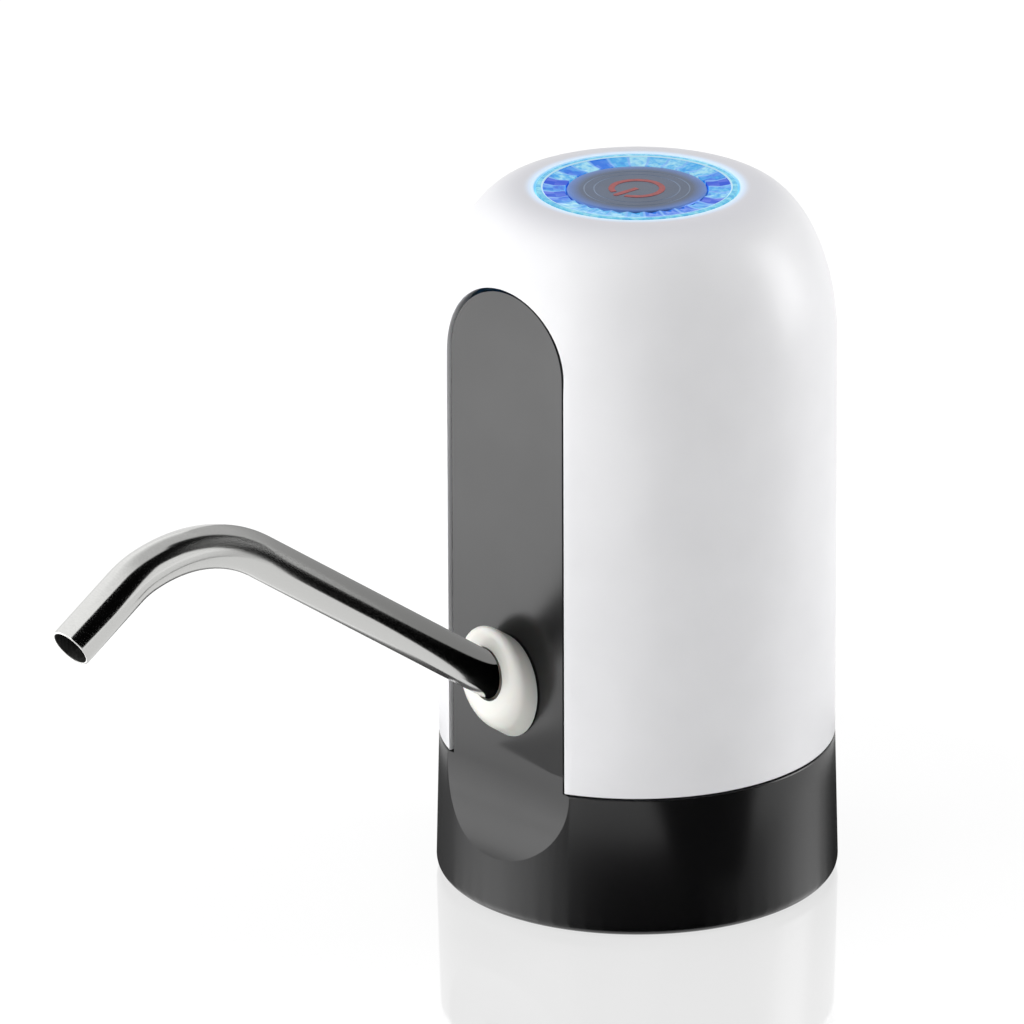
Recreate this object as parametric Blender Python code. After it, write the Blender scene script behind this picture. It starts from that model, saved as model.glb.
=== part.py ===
"""Bottled water pump: an electric pump that stands on the neck of a large water bottle.

The model is in metres with +Z up. The front, where the spout leaves the body, faces -Y.
The world origin is the centre of the whole object's footprint, so the round body's own
axis stands behind it. Every piece is built about that axis and is carried by one empty.
"Outward" below means the distance from the body's axis towards the front.
"""

from math import acos, cos, pi, radians, sin, sqrt, tan

import bmesh
import bpy
from mathutils import Matrix, Vector
from mathutils.geometry import interpolate_bezier

MM = 0.001

# General fits and cutting
GAP = 0.3 * MM
OVERRUN = 1.0 * MM
MERGE_DISTANCE = 0.001 * MM
SHARP_ANGLE = radians(32)

# Steps round a circle
BODY_STEPS = 40
RING_STEPS = 48
BUTTON_STEPS = 28
WIDE_STEPS = 24
ROUND_STEPS = 16
SMALL_STEPS = 8
CORNER_STEPS = 2
HEXAGON_STEPS = 6

# Round body and its seam
BODY_RADIUS = 36.5 * MM
BODY_HEIGHT = 132.15 * MM
SEAM_HEIGHT = 27.05 * MM
SHELL_WALL = 2.0 * MM
DOME_HEIGHT = 29.1 * MM
DOME_INSET = 15.2 * MM
DOME_STEPS = 8
INNER_DOME_STEPS = 4

# Base
BASE_FLARE = 0.6 * MM
BASE_ROUNDING = 2.5 * MM
BASE_ROUNDING_STEPS = 3
DECK_TOP = 30.0 * MM
DECK_THICKNESS = 3.6 * MM
DECK_DISH_RADIUS = 22.0 * MM
DECK_DISH_DEPTH = 0.6 * MM
BASE_RIM = 6.0 * MM
SOCKET_CHAMFER = 1.0 * MM
POCKET_INNER_WALL = 1.4 * MM
POCKET_OUTER_WALL = 2.6 * MM
POCKET_DEPTH = 21.0 * MM
POCKET_COUNT = 10
POCKET_SPAN = radians(23)
POCKET_PITCH = radians(29)
POCKET_STEPS = 2

# Front panel and the scoop under it
PANEL_INSET = 3.75 * MM
PANEL_THICKNESS = 2.0 * MM
PANEL_ROOT = 3.0 * MM
OPENING_HALF_WIDTH = 15.28 * MM
OPENING_DROP = 11.82 * MM
OPENING_RISE = 14.4 * MM
OPENING_STEPS = 12
SCOOP_RADIUS = 32.0 * MM
SCOOP_TURN = radians(34)
SCOOP_STEPS = 8

# Screws from under the deck
SCREW_INSET = 7.7 * MM
SCREW_SHANK = 1.2 * MM
SCREW_HEAD = 2.2 * MM
SCREW_HEAD_HEIGHT = 1.6 * MM
SCREW_LENGTH = 10.0 * MM
SCREW_SUNK = 0.2 * MM
SHELL_LUG_ANGLES = tuple(radians(angle) for angle in (45, 135, 225, 315))
FRAME_LEG_ANGLES = tuple(radians(angle) for angle in (62, 180, 298))
LUG_RADIUS = 3.2 * MM
LUG_HEIGHT = 12.0 * MM
LUG_WEB = 2.0 * MM

# Neck gasket
GASKET_WALL = 1.8 * MM
GASKET_LIP = 1.2 * MM
GASKET_LIP_HALF = 1.3 * MM
GASKET_LOW = 2.0 * MM
GASKET_HEIGHT = 18.0 * MM
GASKET_LIPS = 2

# Hoses and their barbs
HOSE_BORE = 2.6 * MM
HOSE_RADIUS = 3.8 * MM
BARB_BORE = 1.4 * MM
BARB_LENGTH = 5.5 * MM
BARB_TIP = 0.5 * MM
HOSE_BEND_STEPS = 6
HOSE_SIDES = 8

# Inlet nipple under the deck
NIPPLE_FLANGE = 8.0 * MM
NIPPLE_FLANGE_HEIGHT = 2.2 * MM
NIPPLE_NECK = 4.6 * MM
NIPPLE_BARB = 4.0 * MM
NIPPLE_RIDGE = 0.5 * MM
NIPPLE_RIDGE_PITCH = 3.6 * MM
NIPPLE_RIDGE_SHARE = 0.8
NIPPLE_RIDGES = 3
NIPPLE_BORE = 2.6 * MM
NIPPLE_DROP = 14.0 * MM
NIPPLE_STEPS = 10
NUT_HALF_WIDTH = 7.0 * MM
NUT_HEIGHT = 3.2 * MM

# Gear pump
GEAR_TEETH = 12
GEAR_MODULE = 0.9 * MM
GEAR_PRESSURE = radians(25)
GEAR_ADDENDUM_SHARE = 0.8
GEAR_DEDENDUM_SHARE = 1.05
GEAR_BACKLASH = 0.3 * MM
GEAR_FLANK_STEPS = 2
GEAR_SPACING_EXTRA = 0.1 * MM
GEAR_HEIGHT = 7.0 * MM
PUMP_Y = -2.0 * MM
PUMP_BOTTOM = 54.5 * MM
PUMP_COVER_HEIGHT = 2.5 * MM
PUMP_GASKET_HEIGHT = 0.8 * MM
PUMP_ROOF = 4.0 * MM
PUMP_WALL = 1.7 * MM
PUMP_CORNER = 2.6 * MM
PORT_OFFSET = 5.0 * MM
PORT_POCKET = 2.4 * MM
PORT_WALL = 2.2 * MM
PUMP_SCREW_SHANK = 1.0 * MM
PUMP_SCREW_HEAD = 1.9 * MM
PUMP_SCREW_HEAD_HEIGHT = 1.4 * MM
PUMP_SCREW_INSET = 2.6 * MM
SHAFT_RADIUS = 1.0 * MM
SHAFT_FIT = 0.1 * MM
SHAFT_IN_MOTOR = 8.0 * MM
PIN_IN_ROOF = 2.2 * MM
SEAL_RADIUS = 3.2 * MM
SEAL_HEIGHT = 2.2 * MM

# Inner frame
SHELF_ROOM = 1.5 * MM
SHELF_THICKNESS = 3.0 * MM
LEG_RADIUS = 3.0 * MM
POST_RADIUS = 2.3 * MM
POST_CIRCLE = 21.5 * MM
POST_ANGLES = tuple(radians(angle) for angle in (75, 180, 285))
CRADLE_WALL = 1.4 * MM
MOTOR_CRADLE_HEIGHT = 8.0 * MM
BATTERY_CRADLE_HEIGHT = 9.5 * MM
BATTERY_NOTCH_WIDTH = 14.0 * MM
WIRE_WINDOW = (10.0 * MM, 5.0 * MM)
WIRE_WINDOW_Y = 23.5 * MM

# Motor
MOTOR_RADIUS = 12.2 * MM
MOTOR_LENGTH = 30.8 * MM
MOTOR_ROUNDING = 1.2 * MM
MOTOR_BOSS_RADIUS = 3.0 * MM
MOTOR_BOSS_HEIGHT = 1.5 * MM
MOTOR_BORE = 1.4 * MM
MOTOR_SCREW_OFFSET = 8.0 * MM
MOTOR_SCREW_DEPTH = 3.0 * MM
ENDCAP_HEIGHT = 2.5 * MM
ENDCAP_INSET = 0.7 * MM
TERMINAL_SIZE = (0.6 * MM, 2.8 * MM, 3.4 * MM)
TERMINAL_OFFSET = 7.5 * MM
DAMPER_WALL = 1.2 * MM

# Battery
BATTERY_ROOM = 1.35 * MM
BATTERY_RADIUS = 9.15 * MM
BATTERY_LENGTH = 65.0 * MM
BATTERY_ROUNDING = 0.8 * MM
BATTERY_CAP_RADIUS = 3.2 * MM
BATTERY_CAP_HEIGHT = 0.6 * MM
BATTERY_PAD_HEIGHT = 1.2 * MM
BATTERY_CUP_HEIGHT = 4.0 * MM
TAB_SIZE = (7.0 * MM, 3.6 * MM, 0.4 * MM)

# Control board, switch and lamps
BOARD_DROP = 17.65 * MM
BOARD_RADIUS = 25.0 * MM
BOARD_THICKNESS = 1.6 * MM
STAKE_RADIUS = 0.9 * MM
STAKE_HEAD = 1.7 * MM
STAKE_HEAD_HEIGHT = 0.7 * MM
SWITCH_SIZE = (6.0 * MM, 6.0 * MM, 3.5 * MM)
PLUNGER_RADIUS = 1.7 * MM
PLUNGER_SUNK = 0.9 * MM
PLUNGER_PROUD = 1.6 * MM
SWITCH_WELL = 2.0 * MM
LAMP_COUNT = 8
LAMP_SIZE = (1.6 * MM, 3.0 * MM, 1.0 * MM)
LAMP_CIRCLE = 15.5 * MM
LAMP_STRIP_WIDTH = 2.4 * MM
LAMP_STRIP_HEIGHT = 0.5 * MM
CHIP_CIRCLE = 9.0 * MM
CHIPS = (
    ("controller_chip", (5.0 * MM, 5.0 * MM, 1.2 * MM), radians(140)),
    ("battery_plug", (4.0 * MM, 6.0 * MM, 3.4 * MM), radians(20)),
)

# Light ring and power button
RING_RADIUS = 18.45 * MM
RING_BAND = 1.2 * MM
RING_BEVEL = 0.35 * MM
RING_THICKNESS = 3.0 * MM
RING_FACET_DROP = 0.7 * MM
RING_SKIRT_OUTER = 16.9 * MM
RING_SKIRT_WALL = 2.6 * MM
RING_SKIRT_DROP = 7.0 * MM
LEDGE_THICKNESS = 2.0 * MM
BUTTON_RADIUS = 12.8 * MM
BUTTON_RECESS = 0.4 * MM
BUTTON_ROUNDING = 0.5 * MM
BUTTON_PLATE = 1.8 * MM
BUTTON_FLANGE = 1.1 * MM
BUTTON_FLANGE_HEIGHT = 1.4 * MM
BUTTON_SKIRT = 1.2 * MM
BUTTON_STEM = 2.4 * MM

# Charging port at the back
CHARGE_BOARD_BOTTOM = 42.0 * MM
CHARGE_BOARD_SIZE = (16.0 * MM, 16.5 * MM, 1.2 * MM)
CHARGE_BOARD_INSET = 3.5 * MM
CHARGE_POST_RADIUS = 2.2 * MM
CHARGE_POST_X = 5.4 * MM
CHARGE_POST_INSET = 12.0 * MM
PORT_SIZE = (8.9 * MM, 7.0 * MM, 3.2 * MM)
PORT_METAL = 0.35 * MM
PORT_SUNK = 0.6 * MM
TONGUE_SIZE = (6.4 * MM, 4.6 * MM, 0.8 * MM)
PORT_CORNER_STEPS = 3

# Spout axis and outlet collar
SPOUT_RISE = radians(34)
COLLAR_PROUD = 5.5 * MM
COLLAR_AXIS_HEIGHT = 47.7 * MM
COLLAR_RADIUS = 8.15 * MM
COLLAR_ROUNDING = 2.2 * MM
COLLAR_ROUNDING_STEPS = 3
ORING_TUBE = 0.6 * MM
ORING_STEPS = 6
ORING_ROOM = 2.0 * MM
NOSE_RADIUS = 5.7 * MM
SOCKET_STOP = 12.3 * MM
SOCKET_END = 16.0 * MM
SOCKET_FLANGE = (12.0 * MM, 10.6 * MM)
SOCKET_FLANGE_THICKNESS = 1.8 * MM
SOCKET_FLANGE_CORNER = 3.0 * MM
SOCKET_BOSS_X = 9.2 * MM
SOCKET_BOSS_Z = 7.6 * MM
SOCKET_BOSS_RADIUS = 1.5 * MM
SOCKET_BOSS_HEAD = 2.2 * MM

# Spout
SPOUT_RADIUS = 4.0 * MM
SPOUT_WALL = 0.5 * MM
SPOUT_INSERTION = 12.0 * MM
SPOUT_STRAIGHT = 66.3 * MM
SPOUT_BEND_RADIUS = 33.1 * MM
SPOUT_BEND_TURN = radians(50)
SPOUT_END_RADIUS = 17.8 * MM
SPOUT_END_TURN = radians(15.5)
SPOUT_END_LENGTH = 15.2 * MM
SPOUT_BEND_STEPS = 8
SPOUT_END_STEPS = 2
SLEEVE_FIT = 0.12 * MM
SLEEVE_WALL = 0.43 * MM
SLEEVE_SUNK = 7.0 * MM
SLEEVE_RECESS = 4.5 * MM
SLEEVE_ROUNDING = 0.2 * MM

# Wires
WIRE_RADIUS = 0.6 * MM
WIRE_SIDES = 6
WIRE_STEPS = 4
WIRE_SWING = 2.0 * MM
STEEP_SHARE = 0.5

# Sizes worked out from the ones above
SHELL_INNER = BODY_RADIUS - SHELL_WALL
SOCKET_RADIUS = BODY_RADIUS - BASE_RIM
POCKET_INNER = SOCKET_RADIUS + POCKET_INNER_WALL
POCKET_OUTER = BODY_RADIUS - POCKET_OUTER_WALL
PANEL_OUTWARD = BODY_RADIUS - PANEL_INSET
OPENING_TOP = BODY_HEIGHT - OPENING_DROP
COLLAR_OUTWARD = PANEL_OUTWARD + COLLAR_PROUD
SCREW_CIRCLE = SHELL_INNER - SCREW_INSET
SHELF_RADIUS = SHELL_INNER - SHELF_ROOM
BATTERY_X = SHELL_INNER - BATTERY_ROOM - BATTERY_RADIUS
CHARGE_BOARD_BACK = SHELL_INNER - CHARGE_BOARD_INSET
CHARGE_POST_Y = CHARGE_BOARD_BACK - CHARGE_POST_INSET
DECK_BOTTOM = DECK_TOP - DECK_THICKNESS
DISH_TOP = DECK_BOTTOM + DECK_DISH_DEPTH
SCREW_HEAD_TOP = DECK_BOTTOM + SCREW_SUNK + SCREW_HEAD_HEIGHT
DECK_RADIUS = SHELL_INNER - GAP
FOOT_RADIUS = BODY_RADIUS + BASE_FLARE
PANEL_BACK = PANEL_OUTWARD - PANEL_THICKNESS
RING_BOTTOM = BODY_HEIGHT - RING_THICKNESS
RING_INNER = BUTTON_RADIUS + GAP
RING_SKIRT_INNER = RING_SKIRT_OUTER - RING_SKIRT_WALL
BARB_RADIUS = HOSE_BORE - GAP
PITCH_RADIUS = GEAR_TEETH * GEAR_MODULE / 2
GEAR_TIP = PITCH_RADIUS + GEAR_ADDENDUM_SHARE * GEAR_MODULE
GEAR_ROOT = PITCH_RADIUS - GEAR_DEDENDUM_SHARE * GEAR_MODULE
GEAR_X = PITCH_RADIUS + GEAR_SPACING_EXTRA / 2
CAVITY_RADIUS = GEAR_TIP + GAP
PUMP_COVER_TOP = PUMP_BOTTOM + PUMP_COVER_HEIGHT
PUMP_GASKET_LOW = PUMP_COVER_TOP + GAP
PUMP_BODY_BOTTOM = PUMP_GASKET_LOW + PUMP_GASKET_HEIGHT + GAP
CAVITY_TOP = PUMP_BODY_BOTTOM + GEAR_HEIGHT + 2 * GAP
PUMP_TOP = CAVITY_TOP + PUMP_ROOF
PUMP_HALF_X = GEAR_X + CAVITY_RADIUS + PUMP_WALL
PUMP_HALF_Y = PORT_OFFSET + PORT_POCKET + PORT_WALL
INLET_Y = PUMP_Y + PORT_OFFSET
OUTLET_Y = PUMP_Y - PORT_OFFSET
SHELF_BOTTOM = PUMP_TOP + GAP
SHELF_TOP = SHELF_BOTTOM + SHELF_THICKNESS
MOTOR_BOTTOM = SHELF_TOP + GAP
MOTOR_SCREW_HEAD_TOP = SHELF_BOTTOM + GAP + PUMP_SCREW_HEAD_HEIGHT
MOTOR_TOP = MOTOR_BOTTOM + MOTOR_LENGTH
BATTERY_BOTTOM = DECK_TOP + BATTERY_PAD_HEIGHT + 2 * GAP
BATTERY_TOP = BATTERY_BOTTOM + BATTERY_LENGTH
BOARD_BOTTOM = BODY_HEIGHT - BOARD_DROP
BOARD_TOP = BOARD_BOTTOM + BOARD_THICKNESS
SWITCH_BOTTOM = BOARD_TOP + GAP
SWITCH_TOP = SWITCH_BOTTOM + SWITCH_SIZE[2]
PLUNGER_TOP = SWITCH_TOP + PLUNGER_PROUD
BUTTON_TOP = BODY_HEIGHT - BUTTON_RECESS
NUT_BOTTOM = DECK_TOP + GAP
NUT_TOP = NUT_BOTTOM + NUT_HEIGHT
NIPPLE_BARB_ROOT = NUT_TOP + GAP
SLEEVE_RADIUS = SPOUT_RADIUS + SLEEVE_FIT + SLEEVE_WALL
ORING_RADIUS = SPOUT_RADIUS + GAP + ORING_TUBE
NOSE_FRONT = SLEEVE_SUNK + ORING_ROOM
SOCKET_FLANGE_FRONT = PANEL_BACK - GAP
SOCKET_FLANGE_BACK = SOCKET_FLANGE_FRONT - SOCKET_FLANGE_THICKNESS

PLASTIC_WHITE = ("white_plastic", (0.90, 0.90, 0.91), 0.32, 0.0)
PLASTIC_COLLAR = ("collar_plastic", (0.90, 0.90, 0.87), 0.30, 0.0)
PLASTIC_DARK = ("dark_plastic", (0.045, 0.045, 0.047), 0.42, 0.0)
PLASTIC_INNER = ("inner_plastic", (0.75, 0.75, 0.72), 0.55, 0.0)
PLASTIC_PUMP = ("pump_plastic", (0.08, 0.09, 0.10), 0.45, 0.0)
SILICONE = ("silicone", (0.78, 0.80, 0.80), 0.50, 0.0)
SEAL_RUBBER = ("seal_rubber", (0.05, 0.05, 0.05), 0.65, 0.0)
STAINLESS = ("stainless", (0.62, 0.62, 0.63), 0.12, 1.0)
SATIN_STEEL = ("satin_steel", (0.55, 0.55, 0.56), 0.38, 1.0)
ZINC_STEEL = ("zinc_steel", (0.60, 0.60, 0.58), 0.35, 1.0)
RING_CLEAR = ("ring_clear", (0.25, 0.42, 0.95), 0.08, 0.0)
BUTTON_METAL = ("button_metal", (0.30, 0.31, 0.36), 0.42, 0.7)
BOARD_GREEN = ("board_green", (0.04, 0.22, 0.10), 0.50, 0.0)
LAMP_BLUE = ("lamp_blue", (0.55, 0.70, 1.0), 0.30, 0.0)
CHIP_BLACK = ("chip_black", (0.03, 0.03, 0.03), 0.50, 0.0)
CELL_WRAP = ("cell_wrap", (0.05, 0.20, 0.50), 0.40, 0.0)
GEAR_ACETAL = ("gear_acetal", (0.85, 0.85, 0.82), 0.40, 0.0)
WIRE_RED = ("wire_red", (0.55, 0.04, 0.03), 0.50, 0.0)


def clear_scene():
    """Remove whatever the open file holds."""
    for item in list(bpy.data.objects):
        bpy.data.objects.remove(item, do_unlink=True)


def material(look):
    """Return the Principled BSDF material that a look describes."""
    name, color, roughness, metallic = look
    found = bpy.data.materials.get(name)
    if found:
        return found
    made = bpy.data.materials.new(name)
    made.use_nodes = True
    made.diffuse_color = (*color, 1.0)
    shader = made.node_tree.nodes["Principled BSDF"]
    shader.inputs["Base Color"].default_value = (*color, 1.0)
    shader.inputs["Roughness"].default_value = roughness
    shader.inputs["Metallic"].default_value = metallic
    return made


def empty(name, location, rotation=(0, 0, 0), parent=None):
    """Add an empty that carries pieces."""
    carrier = bpy.data.objects.new(name, None)
    bpy.context.scene.collection.objects.link(carrier)
    carrier.location = location
    carrier.rotation_euler = rotation
    carrier.parent = parent
    return carrier


def piece(name, shape, look, parent, at=(0, 0, 0)):
    """Turn a bmesh into a named object with its material."""
    mesh = bpy.data.meshes.new(name)
    shape.to_mesh(mesh)
    shape.free()
    mesh.shade_smooth()
    mesh.set_sharp_from_angle(angle=SHARP_ANGLE)
    mesh.materials.append(material(look))
    made = bpy.data.objects.new(name, mesh)
    bpy.context.scene.collection.objects.link(made)
    made.parent = parent
    made.location = at
    return made


def helper(name, shape, parent, at=(0, 0, 0)):
    """Add a hidden shape that only cuts or joins."""
    made = piece(name, shape, PLASTIC_DARK, parent, at)
    made.hide_render = True
    made.display_type = "WIRE"
    return made


def boolean(target, operation, tool):
    """Cut or join the target with a hidden shape."""
    modifier = target.modifiers.new(tool.name, "BOOLEAN")
    modifier.operation = operation
    modifier.solver = "EXACT"
    modifier.object = tool


def cut(target, *tools):
    """Take the tools' shapes out of the target."""
    for tool in tools:
        boolean(target, "DIFFERENCE", tool)


def join(target, *tools):
    """Fuse the tools' shapes to the target."""
    for tool in tools:
        boolean(target, "UNION", tool)


def spun(profile, steps=ROUND_STEPS):
    """Turn a profile of (radius, height) points about the Z axis.

    A profile that starts and ends on the axis gets flat caps; any other one is closed on itself.
    """
    shape = bmesh.new()
    capped = profile[0][0] == 0
    corners = profile[1:-1] if capped else profile
    line = [shape.verts.new((radius, 0, height)) for radius, height in corners]
    edges = [shape.edges.new(pair) for pair in zip(line, line[1:])]
    if not capped:
        edges.append(shape.edges.new((line[-1], line[0])))
    bmesh.ops.spin(
        shape, geom=line + edges, cent=(0, 0, 0), axis=(0, 0, 1),
        angle=2 * pi, steps=steps, use_merge=True,
    )
    bmesh.ops.remove_doubles(shape, verts=shape.verts, dist=MERGE_DISTANCE)
    if capped:
        bmesh.ops.holes_fill(shape, edges=shape.edges)
    bmesh.ops.recalc_face_normals(shape, faces=shape.faces)
    return shape


def bar(radius, low, high, steps=ROUND_STEPS):
    """A plain cylinder from low to high."""
    return spun([(0, low), (radius, low), (radius, high), (0, high)], steps)


def post(radius, low, high):
    """A thin plain cylinder, such as a pin or a leg."""
    return bar(radius, low, high, SMALL_STEPS)


def hole(radius, low, high, steps=SMALL_STEPS):
    """A round cutter that reaches past both ends of its hole."""
    return bar(radius, low - OVERRUN, high + OVERRUN, steps)


def tube(outer, inner, low, high, steps=ROUND_STEPS):
    """A plain ring or pipe from low to high."""
    return spun([(inner, low), (outer, low), (outer, high), (inner, high)], steps)


def prism(outline, low, high):
    """Extrude a flat outline along Z."""
    shape = bmesh.new()
    face = shape.faces.new([shape.verts.new((x, y, low)) for x, y in outline])
    grown = bmesh.ops.extrude_face_region(shape, geom=[face])
    lifted = [item for item in grown["geom"] if isinstance(item, bmesh.types.BMVert)]
    bmesh.ops.translate(shape, verts=lifted, vec=(0, 0, high - low))
    bmesh.ops.recalc_face_normals(shape, faces=shape.faces)
    return shape


def box(size, centre=(0, 0, 0)):
    """A rectangular block."""
    shape = bmesh.new()
    place = Matrix.Translation(centre) @ Matrix.Diagonal((*size, 1))
    bmesh.ops.create_cube(shape, size=1, matrix=place)
    return shape


def placed(shape, matrix):
    """Move a bmesh and keep its faces pointing out."""
    bmesh.ops.transform(shape, matrix=matrix, verts=shape.verts)
    bmesh.ops.recalc_face_normals(shape, faces=shape.faces)
    return shape


def shifted(shape, offset):
    """Slide a bmesh."""
    return placed(shape, Matrix.Translation(offset))


def facing_front(shape):
    """Stand a shape up: its X stays, its Y becomes height and its Z points outward."""
    return placed(shape, Matrix.Rotation(pi / 2, 4, "X"))


def across(shape):
    """Lay a (outward, height) outline across the body, extruded along X."""
    return placed(shape, Matrix(((0, 0, 1, 0), (-1, 0, 0, 0), (0, 1, 0, 0), (0, 0, 0, 1))))


def gathered(shapes):
    """Put several separate solids into one bmesh."""
    whole = bmesh.new()
    for shape in shapes:
        holder = bpy.data.meshes.new("holder")
        shape.to_mesh(holder)
        shape.free()
        whole.from_mesh(holder)
        bpy.data.meshes.remove(holder)
    return whole


def at_each(places, make):
    """A fresh shape at each place, all in one bmesh."""
    return gathered([shifted(make(), place) for place in places])


def lofted(rings, capped=True):
    """Skin a row of rings; without caps the last ring joins the first."""
    shape = bmesh.new()
    loops = [[shape.verts.new(point) for point in ring] for ring in rings]
    pairs = list(zip(loops, loops[1:]))
    if capped:
        shape.faces.new(loops[0])
        shape.faces.new(loops[-1])
    else:
        pairs.append((loops[-1], loops[0]))
    for first, second in pairs:
        turned_first = first[1:] + first[:1]
        turned_second = second[1:] + second[:1]
        for corner in zip(first, turned_first, turned_second, second):
            shape.faces.new(corner)
    bmesh.ops.recalc_face_normals(shape, faces=shape.faces)
    return shape


def arc(centre, radius_x, radius_y, start, end, steps):
    """Points of an elliptic or round arc, both ends included."""
    x, y = centre
    angles = [start + (end - start) * step / steps for step in range(steps + 1)]
    return [(x + radius_x * cos(angle), y + radius_y * sin(angle)) for angle in angles]


def closed_arc(centre, radius_x, radius_y, steps):
    """Points all the way round an ellipse, without the first one again at the end."""
    return arc(centre, radius_x, radius_y, 0, 2 * pi, steps)[:-1]


def rounded_outline(half_x, half_y, corner, steps=CORNER_STEPS):
    """A rectangle with round corners."""
    x = half_x - corner
    y = half_y - corner
    outline = []
    for turn, centre in enumerate(((x, y), (-x, y), (-x, -y), (x, -y))):
        outline += arc(centre, corner, corner, turn * pi / 2, (turn + 1) * pi / 2, steps)
    return outline


def on_circle(radius, angle, height=0):
    """A point at an angle round the body's axis."""
    return (radius * cos(angle), radius * sin(angle), height)


def places_round(radius, angles, height=0):
    """Points at several angles round the body's axis."""
    return [on_circle(radius, angle, height) for angle in angles]


def run_of(start, direction, legs):
    """Walk straight and bent legs in the YZ plane; return (point, tangent) pairs.

    A leg is (length, 0, 0, steps) or (radius, turn, side, steps); side is +1 where the bend
    turns from +Y towards +Z.
    """
    point, heading = Vector(start), Vector(direction).normalized()
    walk = [(point.copy(), heading.copy())]
    for size, turn, side, steps in legs:
        if not turn:
            for step in range(steps):
                point = point + heading * (size / steps)
                walk.append((point.copy(), heading.copy()))
            continue
        centre = point + side * size * Vector((0, -heading.z, heading.y))
        for _ in range(steps):
            swing = Matrix.Rotation(side * turn / steps, 3, "X")
            point = centre + swing @ (point - centre)
            heading = swing @ heading
            walk.append((point.copy(), heading.copy()))
    return walk


def ring_at(point, heading, radius, sides):
    """A circle across a path that stays in a plane of constant X."""
    sideways = Vector((1, 0, 0))
    upwards = Vector((0, -heading.z, heading.y))
    circle = closed_arc((0, 0), radius, radius, sides)
    return [point + sideways * x + upwards * y for x, y in circle]


def pipe_along(walk, outer, inner, sides):
    """A hollow pipe along a walked path."""
    outside = [ring_at(point, heading, outer, sides) for point, heading in walk]
    inside = [ring_at(point, heading, inner, sides) for point, heading in reversed(walk)]
    return lofted(outside + inside, capped=False)


def wire_along(points):
    """A thin round wire that runs smoothly through a few points."""
    ends = [points[0]] + list(points) + [points[-1]]
    samples = []
    for before, start, end, after in zip(ends, ends[1:], ends[2:], ends[3:]):
        leaving = start + (end - before) / 6
        arriving = end - (after - start) / 6
        samples += interpolate_bezier(start, leaving, arriving, end, WIRE_STEPS)[:-1]
    samples.append(points[-1])
    rings = []
    for before, point, after in zip(samples[:1] + samples, samples, samples[1:] + samples[-1:]):
        heading = (after - before).normalized()
        guide = Vector((1, 0, 0)) if abs(heading.z) > STEEP_SHARE else Vector((0, 0, 1))
        side = (guide - heading * guide.dot(heading)).normalized() * WIRE_RADIUS
        rise = heading.cross(side)
        rings.append([point + side * x + rise * y for x, y in closed_arc((0, 0), 1, 1, WIRE_SIDES)])
    return lofted(rings)


def screw(shank, head, head_height, length):
    """A pan-head screw whose shank points up and whose head hangs below height zero."""
    profile = [(0, -head_height), (head, -head_height), (head, 0)]
    profile += [(shank, 0), (shank, length), (0, length)]
    return spun(profile, SMALL_STEPS)


def staked_post(radius, low, plate_bottom, plate_thickness):
    """A post with a pin through the plate above it and the pin's flattened head."""
    seat = plate_bottom - GAP
    head_low = plate_bottom + plate_thickness + GAP
    head_top = head_low + STAKE_HEAD_HEIGHT
    profile = [(0, low), (radius, low), (radius, seat), (STAKE_RADIUS, seat), (STAKE_RADIUS, head_low)]
    profile += [(STAKE_HEAD, head_low), (STAKE_HEAD, head_top), (0, head_top)]
    return spun(profile, SMALL_STEPS)


def dome_outline(inset, steps):
    """The dome's quarter ellipse from its shoulder up, offset inwards by a wall."""
    crown = BODY_RADIUS - DOME_INSET - inset
    shoulder = BODY_HEIGHT - DOME_HEIGHT
    return arc((crown, shoulder), DOME_INSET, DOME_HEIGHT - inset, 0, pi / 2, steps)


def inner_dome_reach(height):
    """The inner dome's radius at a height."""
    rise = (height - BODY_HEIGHT + DOME_HEIGHT) / (DOME_HEIGHT - SHELL_WALL)
    return BODY_RADIUS - DOME_INSET - SHELL_WALL + DOME_INSET * sqrt(max(0, 1 - rise ** 2))


def opening_outline(clearance, bottom):
    """The arched outline of the front opening, or of the panel that fills it."""
    half_width = OPENING_HALF_WIDTH - clearance
    spring = OPENING_TOP - OPENING_RISE
    arch = arc((0, spring), half_width, OPENING_RISE - clearance, 0, pi, OPENING_STEPS)
    return [(-half_width, bottom), (half_width, bottom)] + arch


def port_outline(grow):
    """The charging port's round-ended slot."""
    half_x = PORT_SIZE[0] / 2 + grow
    half_z = PORT_SIZE[2] / 2 + grow
    return rounded_outline(half_x, half_z, half_z, PORT_CORNER_STEPS)


def port_height():
    """Height of the charging port's centre."""
    return CHARGE_BOARD_BOTTOM + CHARGE_BOARD_SIZE[2] + GAP + PORT_SIZE[2] / 2


def facing_back(shape):
    """Stand a shape up so that its Z points to the back."""
    return placed(shape, Matrix.Rotation(pi, 4, "Z") @ Matrix.Rotation(pi / 2, 4, "X"))


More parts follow.
